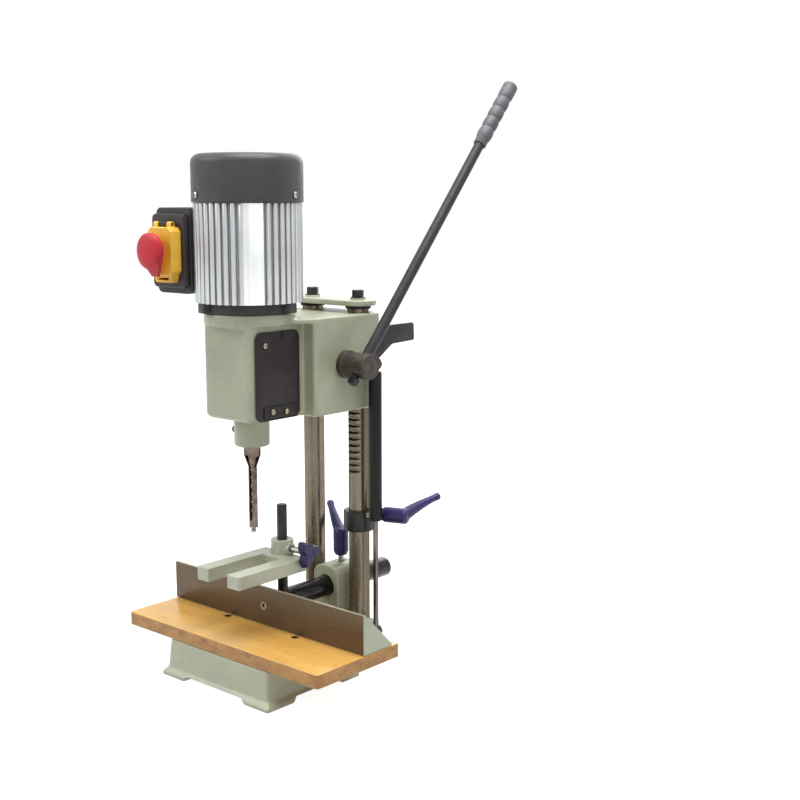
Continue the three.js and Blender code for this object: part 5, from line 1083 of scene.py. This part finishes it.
def mouthOutline(wide, narrow, low, high, corner):
    # An opening for the chips that widens upwards.
    return fillet([(-wide, high), (-narrow, low), (narrow, low), (wide, high)], corner)


def makeChisel():
    c = chiselSizes
    out = c["shank"] + 1
    square = fillet(rectangle((-c["half"], c["half"]), (-c["half"], c["half"])), c["corner"], 3)
    body = extruded("hollowChisel", "z", square, c["tip"], c["squareTop"] + 0.3)
    joined(body, turned("shank", "z", [
        (0, c["squareTop"]), (c["shoulder"], c["squareTop"]), (c["shank"], c["cone"]), (c["shank"], c["top"]),
        (0, c["top"])], origin, 96, [0, 0.6, 3, 0.6, 0]))
    slot = fillet(rectangle((-c["slot"], c["slot"]), (c["slotLow"], c["slotHigh"])), 1.9)
    mouth = mouthOutline(c["mouth"], c["mouth"] * 0.6, c["mouthLow"], c["mouthHigh"], 0.8)
    window = mouthOutline(c["window"], c["window"] * 0.5, c["windowLow"], c["windowHigh"], 0.7)
    low, high = c["tip"] - 1, c["tip"] + c["pointHigh"]
    points = turned("points", "z", [(0, low), (c["half"] * math.sqrt(2) + 1, low), (c["bore"], high), (0, high)])
    cut(body, rod("bore", "z", c["bore"], low, c["top"] + 1), points,
        extruded("slot", "y", slot, -out, 0), extruded("mouth", "y", mouth, -out, -c["bore"]),
        extruded("window", "x", window, 0, out))
    return softened(body, 0.15, 2, 40)


piece(makeChisel(), "head", ["hollow_chisel"], chiselSteel)

augerSizes = {"radius": 2.5, "web": 0.95, "low": 117.8, "high": 212, "pitch": 19.2, "tip": 113.3, "head": 3.1,
              "spur": 1.8, "headHigh": 3, "shank": 2.4, "top": 308.4, "levels": 150}


def makeAuger():
    # A twisted flute with a cutter at its foot and a round shank above.
    a = augerSizes
    rings = []
    for level in range(a["levels"] + 1):
        z = a["low"] + (a["high"] - a["low"]) * level / a["levels"]
        twist = 2 * math.pi * (z - a["low"]) / a["pitch"]
        ring = []
        for step in range(20):
            angle = 2 * math.pi * step / 20
            u, v = a["radius"] * math.cos(angle), a["web"] * math.sin(angle)
            ring.append((u * math.cos(twist) - v * math.sin(twist), u * math.sin(twist) + v * math.cos(twist), z))
        rings.append(ring)
    bit = lofted("augerBit", rings)
    low = a["tip"] + a["spur"]
    return joined(
        bit,
        turned("cutter", "z", [
            (0, a["tip"]), (0.5, a["tip"] + 0.9), (a["head"], low), (a["head"], low + a["headHigh"]),
            (0, low + a["headHigh"])], origin, 48, [0, 0.2, 0.2, 0.4, 0]),
        rod("shank", "z", a["shank"], a["high"] - 0.3, a["top"], origin, 0.3))


piece(makeAuger(), "spindle", ["auger_bit"], augerSteel)

bracketSizes = {"near": 59.3, "far": 63.3, "lobe": 9.5, "y": 129.5, "z": 302.5, "bore": 4.2, "edge": 0.6,
                "outline": [(129.5, 293), (147.5, 308), (169.5, 322), (209.7, 323.4), (208.7, 344.7),
                            (166.8, 344.6), (139, 312.7), (129.5, 312)],
                "radii": [0, 6, 9, 2.5, 2.5, 7, 5, 0]}


def makeBracket():
    b = bracketSizes
    middle = (b["y"], b["z"])
    plate = extruded("strutBracket", "x", fillet(b["outline"], b["radii"]), b["near"], b["far"], b["edge"])
    joined(plate, rod("lobe", "x", b["lobe"], b["near"], b["far"], middle, b["edge"]))
    return cut(plate, rod("bore", "x", b["bore"], b["near"] - 1, b["far"] + 1, middle))


piece(makeBracket(), "head", ["strut_bracket"], bracketPaint)
print("head made")


# Motor

shieldSizes = {"low": 368.6, "high": 379.6, "radius": 51.5, "earLow": 368.9, "earReach": 58.5, "earHalf": 8.5,
               "earFrom": 30, "earTurn": 12, "ears": 3, "edge": 0.8, "seat": 16.3, "seatLow": 370.6, "bore": 14}


def makeEndShield():
    s = shieldSizes
    shield = rod("motorEndShield", "z", s["radius"], s["low"], s["high"], origin, s["edge"], 128)
    outline = rectangle((s["earFrom"], s["earReach"]), (-s["earHalf"], s["earHalf"]))
    ear = extruded("ear", "z", fillet(outline, [2.5, 0, 0, 2.5]), s["earLow"], s["high"], s["edge"])
    ears = repeated(movedBy(ear, spin(s["earTurn"], "z")), s["ears"], turn=(0, 0, 360 / s["ears"]))
    joined(shield, ears)
    return cut(shield, rod("seat", "z", s["seat"], s["seatLow"], s["high"] + 1),
               rod("bore", "z", s["bore"], s["low"] - 1, s["high"] + 1))


piece(makeEndShield(), "head", ["motor_end_shield"], shieldPaint)

# The valley's and the rib's outlines are (share of its width, share of the height from core to fin).
bodySizes = {"low": 379.9, "high": 488.5, "core": 57, "fin": 60, "inner": 50, "padAngle": 21, "padTurn": 53,
             "fins": 8, "finShare": 0.56, "edge": 0.3, "valley": [(0.16, 0.42), (0.3, 0), (0.7, 0), (0.84, 0.42)],
             "rib": [(0.04, 0.66), (0.14, 0.88), (0.3, 0.98), (0.5, 1), (0.7, 0.98), (0.86, 0.88), (0.96, 0.66)]}


def makeMotorBody():
    # Rounded ribs in four quarters between four smooth pads, as the extrusion has them.
    b = bodySizes
    span = (90 - b["padAngle"]) / b["fins"]
    valley = span * (1 - b["finShare"])
    heights = []
    for quarter in range(4):
        start = b["padTurn"] + 90 * quarter - b["padAngle"] / 2
        heights += [(1, start + b["padAngle"] * step / 12) for step in range(13)]
        for rib in range(b["fins"]):
            first = start + b["padAngle"] + rib * span
            heights += [(height, first + valley * share) for share, height in b["valley"]]
            if rib < b["fins"] - 1:
                heights += [(height, first + valley + (span - valley) * share) for share, height in b["rib"]]
    outline = []
    for height, angle in heights:
        radius, turn = b["core"] + (b["fin"] - b["core"]) * height, math.radians(angle)
        outline.append((radius * math.cos(turn), radius * math.sin(turn)))
    body = extruded("motorBody", "z", outline, b["low"], b["high"], b["edge"], 2)
    cut(body, rod("bore", "z", b["inner"], b["low"] - 1, b["high"] + 1, origin, steps=96))
    body.data.materials.append(aluminium)
    body.data.materials.append(shadedGrooveAluminium)
    body.data.materials.append(highlightPadAluminium)
    for face in body.data.polygons:
        turn = math.degrees(math.atan2(face.center.y, face.center.x)) - b["padTurn"]
        offPad = abs((turn + 45) % 90 - 45)
        out = face.center.xy.length / mm
        # Faces down in the grooves take the painted shade.
        groove = b["inner"] + 1 < out < (b["core"] + b["fin"]) / 2 and abs(face.normal.z) < 0.5
        # Faces on the pads take the painted highlight.
        pad = out > b["fin"] - 0.6 and offPad < b["padAngle"] / 2
        face.material_index = 2 if pad else 1 if groove else 0
    return body


piece(makeMotorBody(), "head", ["motor_body"], None, 50)

fanCoverSizes = {"low": 488.8, "high": 541.4, "radius": 61.6, "wall": 2, "shoulder": 11, "drop": 10, "crown": 0.5,
                 "vents": 12, "ventHalf": 2, "ventFrom": 20, "ventTo": 42, "screwZ": 496.8, "dimple": 5.6,
                 "dimpleFloor": 4.2, "dimpleDeep": 0.9, "bore": 2.1, "screwHead": 3.8, "screwTurn": 14, "screws": 3}


def makeFanCover():
    c = fanCoverSizes
    profile = []
    for radius, top, shrink in ((c["radius"] - c["wall"], c["high"] - c["wall"], 1), (c["radius"], c["high"], -1)):
        bend = [(radius - c["shoulder"] * (1 - math.cos(math.pi / 2 * step / 10)),
                 top - c["drop"] * (1 - math.sin(math.pi / 2 * step / 10))) for step in range(11)]
        side = [(0, top), (radius * 0.6, top - c["crown"] * 0.2)] + bend[::-1] + [(radius, c["low"])]
        profile += side if shrink > 0 else side[::-1]
    cover = turned("fanCover", "z", profile, origin, 144)
    slot = fillet(rectangle((c["ventFrom"], c["ventTo"]), (-c["ventHalf"], c["ventHalf"])), 1.9, 4)
    vent = extruded("vent", "z", slot, c["high"] - c["wall"] - 3, c["high"] + 1)
    cut(cover, repeated(vent, c["vents"], turn=(0, 0, 360 / c["vents"])))
    middle = (0, c["screwZ"])
    floor, out = c["radius"] - c["dimpleDeep"], c["radius"] + 1
    profile = [(0, floor), (c["dimpleFloor"], floor), (c["dimple"], out), (0, out)]
    dimple = turned("dimple", "x", profile, middle, 40)
    bore = rod("bore", "x", c["bore"], c["radius"] - 6, c["radius"] + 1, middle, steps=32)
    for cutter in (dimple, bore):
        movedBy(cutter, spin(c["screwTurn"], "z"))
        cut(cover, repeated(cutter, c["screws"], turn=(0, 0, 360 / c["screws"])))
    return softened(cover, 0.35, 2, 40)


def makeFanCoverScrews():
    c = fanCoverSizes
    screw = makeSmallScrew("fanCoverScrews", c["radius"] + 0.3, (0, c["screwZ"]), c["screwHead"])
    movedBy(screw, spin(c["screwTurn"], "z"))
    return repeated(screw, c["screws"], turn=(0, 0, 360 / c["screws"]), finish=zinc)


piece(makeFanCover(), "head", ["fan_cover"], coverPlastic)
piece(makeFanCoverScrews(), "head", ["fan_cover_screw_right", "fan_cover_screw_left"], zinc)
print("motor made")


# Switch

boxSizes = {"x": (-99, -41), "z": (388, 483), "rear": 12, "front": -48.6, "corner": 7, "edge": 1, "motor": 60.3,
            "button": 7.8, "buttonDeep": 14, "wall": 3, "rim": 8}
plateSizes = {"x": (-97.5, -42.5), "z": (394.75, 476.25), "front": -56.1, "rear": -48.9, "corner": 6, "edge": 1.3,
              "stand": 7.5, "pinHalf": 15.5, "standHalf": 2.3, "pin": 1.3, "pinY": -62.6, "pinZ": 465.2,
              "middle": -68, "button": 7.8, "startZ": 447, "stopZ": 426}


def buttonHoles(radius, near, far):
    p = plateSizes
    return [rod("hole", "y", radius, near, far, (p["middle"], z)) for z in (p["startZ"], p["stopZ"])]


def makeSwitchBox():
    b = boxSizes
    left, (low, high) = b["x"][0], b["z"]
    outline = fillet(rectangle(b["x"], b["z"]), b["corner"], 6)
    box = extruded("switchBox", "y", outline, b["front"], b["rear"], b["edge"])
    room = rectangle((left + b["rim"], -b["motor"] - b["wall"]), (low + b["rim"], high - b["rim"]))
    cut(box, extruded("room", "y", fillet(room, b["wall"]), b["front"] - 1, b["rear"] - b["wall"]))
    cut(box, rod("motor", "z", b["motor"], low - 1, high + 1, origin, steps=128))
    return cut(box, *buttonHoles(b["button"], b["front"] - 1, b["front"] + b["buttonDeep"]))


def makeSwitchPlate():
    p = plateSizes
    outline = fillet(rectangle(p["x"], p["z"]), p["corner"], 6)
    plate = extruded("switchPlate", "y", outline, p["front"], p["rear"], p["edge"])
    near, far = p["pinY"] - p["pin"], p["front"] + 0.5
    low, high = p["pinZ"] - p["standHalf"], p["pinZ"] + p["standHalf"]
    arm = fillet([(near, low), (far, low), (far, high), (near, high)], [0.9, 0, 0, 0.9])
    x, pin = p["middle"], p["pinHalf"]
    joined(plate, extruded("stand", "x", arm, x - p["stand"], x + p["stand"], 0.25),
           rod("pin", "x", p["pin"], x - pin, x + pin, (p["pinY"], p["pinZ"]), steps=24))
    return cut(plate, *buttonHoles(p["button"], p["front"] - 1, p["rear"] + 1))


piece(makeSwitchBox(), "head", ["switch_box"], blackPlastic)
piece(makeSwitchPlate(), "head", ["switch_plate"], blackPlastic)

flapSizes = {"x": -68, "half": 20.5, "low": 409, "high": 462, "front": -69.9, "rear": -56.4, "cut": 5, "wall": 2.2,
             "edge": 1.2, "latchHalf": 17, "latchDrop": 8, "latchTaper": 4, "latchDeep": 9, "gapHalf": 9,
             "gapHigh": 2.6, "lugX": 11.5, "lugHalf": 3.5, "lug": 2.8, "lugBore": 1.6, "pusher": 4.3,
             "pusherZ": 426}


def makeFlap():
    f, p = flapSizes, plateSizes
    x, half, c = f["x"], f["half"], f["cut"]

    def octagon(shrink):
        u, v, k = half - shrink, (f["high"] - f["low"]) / 2 - shrink, c - shrink * 0.4
        middle = (f["high"] + f["low"]) / 2
        corners = [
            (u - k, -v), (u, k - v), (u, v - k), (u - k, v), (k - u, v), (-u, v - k), (-u, k - v), (k - u, -v)]
        return fillet([(x + a, middle + b) for a, b in corners], 1.2, 3)

    shell = extruded("switchFlap", "y", octagon(0), f["front"], f["rear"] + f["edge"], f["edge"])
    brim = rectangle((x - 30, x + 30), (f["low"] - 20, f["high"] + 20))
    cut(shell, extruded("brim", "y", brim, f["rear"], f["rear"] + 5))
    cut(shell, extruded("room", "y", octagon(f["wall"]), f["front"] + f["wall"], f["rear"] + 1))
    for side in (-1, 1):
        middle = x + side * f["lugX"]
        lug = rectangle((p["pinY"] - f["lug"], p["pinY"] + f["lug"]), (f["high"] - f["wall"], p["pinZ"]))
        joined(shell, extruded("lug", "x", lug, middle - f["lugHalf"], middle + f["lugHalf"]),
               rod("barrel", "x", f["lug"], middle - f["lugHalf"], middle + f["lugHalf"], (p["pinY"], p["pinZ"])))
    low = f["low"] - f["latchDrop"]
    foot, root = f["latchHalf"] - f["latchTaper"], f["latchHalf"] - 0.3
    latch = fillet([(x - foot, low), (x + foot, low), (x + root, f["low"] + 0.5), (x - root, f["low"] + 0.5)],
                   [1.5, 1.5, 0, 0])
    joined(shell, extruded("latch", "y", latch, f["rear"] - f["latchDeep"], f["rear"]))
    gap = rectangle((x - f["gapHalf"], x + f["gapHalf"]), (low + f["gapHigh"], low + 2 * f["gapHigh"]))
    cut(shell, extruded("gap", "y", fillet(gap, 0.9, 3), f["rear"] - f["latchDeep"] - 1, f["rear"] + 1),
        rod("hinge", "x", f["lugBore"], x - half, x + half, (p["pinY"], p["pinZ"])),
        rod("pusher", "y", f["pusher"], f["front"] - 1, f["front"] + f["wall"] + 1, (x, f["pusherZ"])))
    return softened(shell, 0.3, 2, 40)


paddleSizes = {"x": -68, "z": 436, "radius": 20, "rear": -79.9, "rim": 5.5, "dome": 4, "tailLow": 408,
               "tailHigh": 429, "tailHalf": 5.5, "tailTopHalf": 18.6, "tailBack": 6, "tailThick": 3.6, "pusher": 4,
               "pusherZ": 426, "pusherEnd": -60.9, "voxel": 0.5, "rounds": 3}


def makePaddle():
    # A shallow domed disc that runs down into a tail bent back towards the flap.
    s = paddleSizes
    front = s["rear"] - s["rim"]
    turns = [math.pi / 2 * step / 12 for step in range(1, 12)]
    profile = [(0, front - s["dome"] + 0.02)]
    profile += [(s["radius"] * math.sin(turn), front - s["dome"] * math.cos(turn) + 0.4) for turn in turns]
    profile += [(s["radius"], front + 2.2), (s["radius"], s["rear"]), (0, s["rear"])]
    paddle = turned("stopPaddle", "y", profile, (s["x"], s["z"]), 96)
    back = s["rear"] + s["tailBack"]
    rings = []
    for half, near, far, z in ((s["tailHalf"], back - s["tailThick"], back, s["tailLow"]),
                               (s["tailTopHalf"], front + 0.6, s["rear"], s["tailHigh"])):
        rings.append([(u, v, z) for u, v in fillet(rectangle((s["x"] - half, s["x"] + half), (near, far)), 1)])
    joined(paddle, lofted("tail", rings))
    castSoft(paddle, s["voxel"], s["rounds"])
    middle = (s["x"], s["pusherZ"])
    return joined(paddle, rod("pusher", "y", s["pusher"], s["rear"] - 1, s["pusherEnd"], middle, 0.3, 48))


piece(makeFlap(), "switch_lid", ["switch_flap"], yellowPlastic)
piece(makePaddle(), "stop_pusher", ["stop_paddle"], redPlastic, 50)
print("switch made")


# Feed

feedPlace = shift(0, 92.5, 305) @ spin(-40.5, "x")
hubSizes = {"start": 59.3, "end": 98.3, "radius": 14.8, "flange": 16.2, "flangeWide": 7, "bore": 10.3, "edge": 1,
            "leverX": 84.2, "lever": 6.5, "screw": 4.3, "ringInner": 11.6, "ringOuter": 12.5, "ringDeep": 0.4,
            "floor": 95.6, "mark": 2.2, "markDeep": 0.7}


def makeHub():
    h = hubSizes
    step = h["start"] + h["flangeWide"]
    hub = turned("feedHub", "x", fillet([
        (h["bore"], h["start"]), (h["flange"], h["start"]), (h["flange"], step), (h["radius"], step + 0.4),
        (h["radius"], h["end"]), (h["ringOuter"], h["end"]), (h["ringOuter"], h["end"] - h["ringDeep"]),
        (h["ringInner"], h["end"] - h["ringDeep"]), (h["ringInner"], h["end"]), (h["mark"], h["end"]),
        (0, h["end"] - h["markDeep"]), (0, h["floor"]), (h["bore"], h["floor"])],
        [0.3, 0.8, 0.6, 0.3, h["edge"], 0.1, 0, 0, 0.1, 0.3, 0, 0, 0.4], 4), origin, 96)
    return cut(hub, rod("lever", "z", h["lever"], 0, h["flange"] + 1, (h["leverX"], 0)),
               rod("screw", "z", h["screw"], -h["flange"] - 1, 0, (h["leverX"], 0)))


leverBar = {"x": 84.2, "radius": 6.2, "from": 10.3, "to": 424, "edge": 0.8}
# The ribs swell as a sine to the power "full"; the bulb above them reaches its radius at the share "rise".
gripSizes = {"low": 332, "high": 432.4, "bore": 6.5, "wall": 424.3, "radius": 9.5, "waist": 8, "foot": 9.6,
             "ribs": 4, "pitch": 16.4, "edge": 0.7, "full": 0.55, "rise": 0.35, "bulbFull": 0.7, "tip": 4.5,
             "tipIn": 5}


def makeGrip():
    g = gripSizes
    profile = [(g["bore"], g["low"]), (g["waist"] - g["edge"], g["low"]), (g["waist"], g["low"] + g["edge"]),
               (g["waist"], g["low"] + g["foot"])]
    for rib in range(g["ribs"]):
        start = g["low"] + g["foot"] + rib * g["pitch"]
        for step in range(1, 15):
            share = step / 14
            swell = max(math.sin(math.pi * share), 0) ** g["full"]
            profile.append((g["waist"] + (g["radius"] - g["waist"]) * swell, start + share * g["pitch"]))
    bulb = g["low"] + g["foot"] + g["ribs"] * g["pitch"]
    for step in range(1, 13):
        share = step / 12
        swell = math.sin(math.pi / 2 * min(share / g["rise"], 1)) ** g["bulbFull"]
        along = bulb + share * (g["high"] - g["tip"] - bulb)
        profile.append((g["waist"] + (g["radius"] - g["waist"]) * swell, along))
    for step in range(1, 9):
        turn = math.pi / 2 * step / 8
        along = g["high"] - g["tip"] * (1 - math.sin(turn))
        profile.append((g["radius"] - g["tipIn"] * (1 - math.cos(turn)), along))
    profile += [(0, g["high"]), (0, g["wall"]), (g["bore"], g["wall"])]
    return turned("leverGrip", "z", profile, (leverBar["x"], 0), 64)


b = leverBar
feedLever = rod("feedLever", "z", b["radius"], b["from"], b["to"], (b["x"], 0), b["edge"])
piece(movedBy(makeHub(), feedPlace), "feed_shaft", ["feed_hub"], brownOxide)
piece(movedBy(feedLever, feedPlace), "feed_shaft", ["feed_lever"], leverPaint)
piece(movedBy(makeGrip(), feedPlace), "feed_shaft", ["lever_grip"], gripPlastic, 50)
print("feed made")
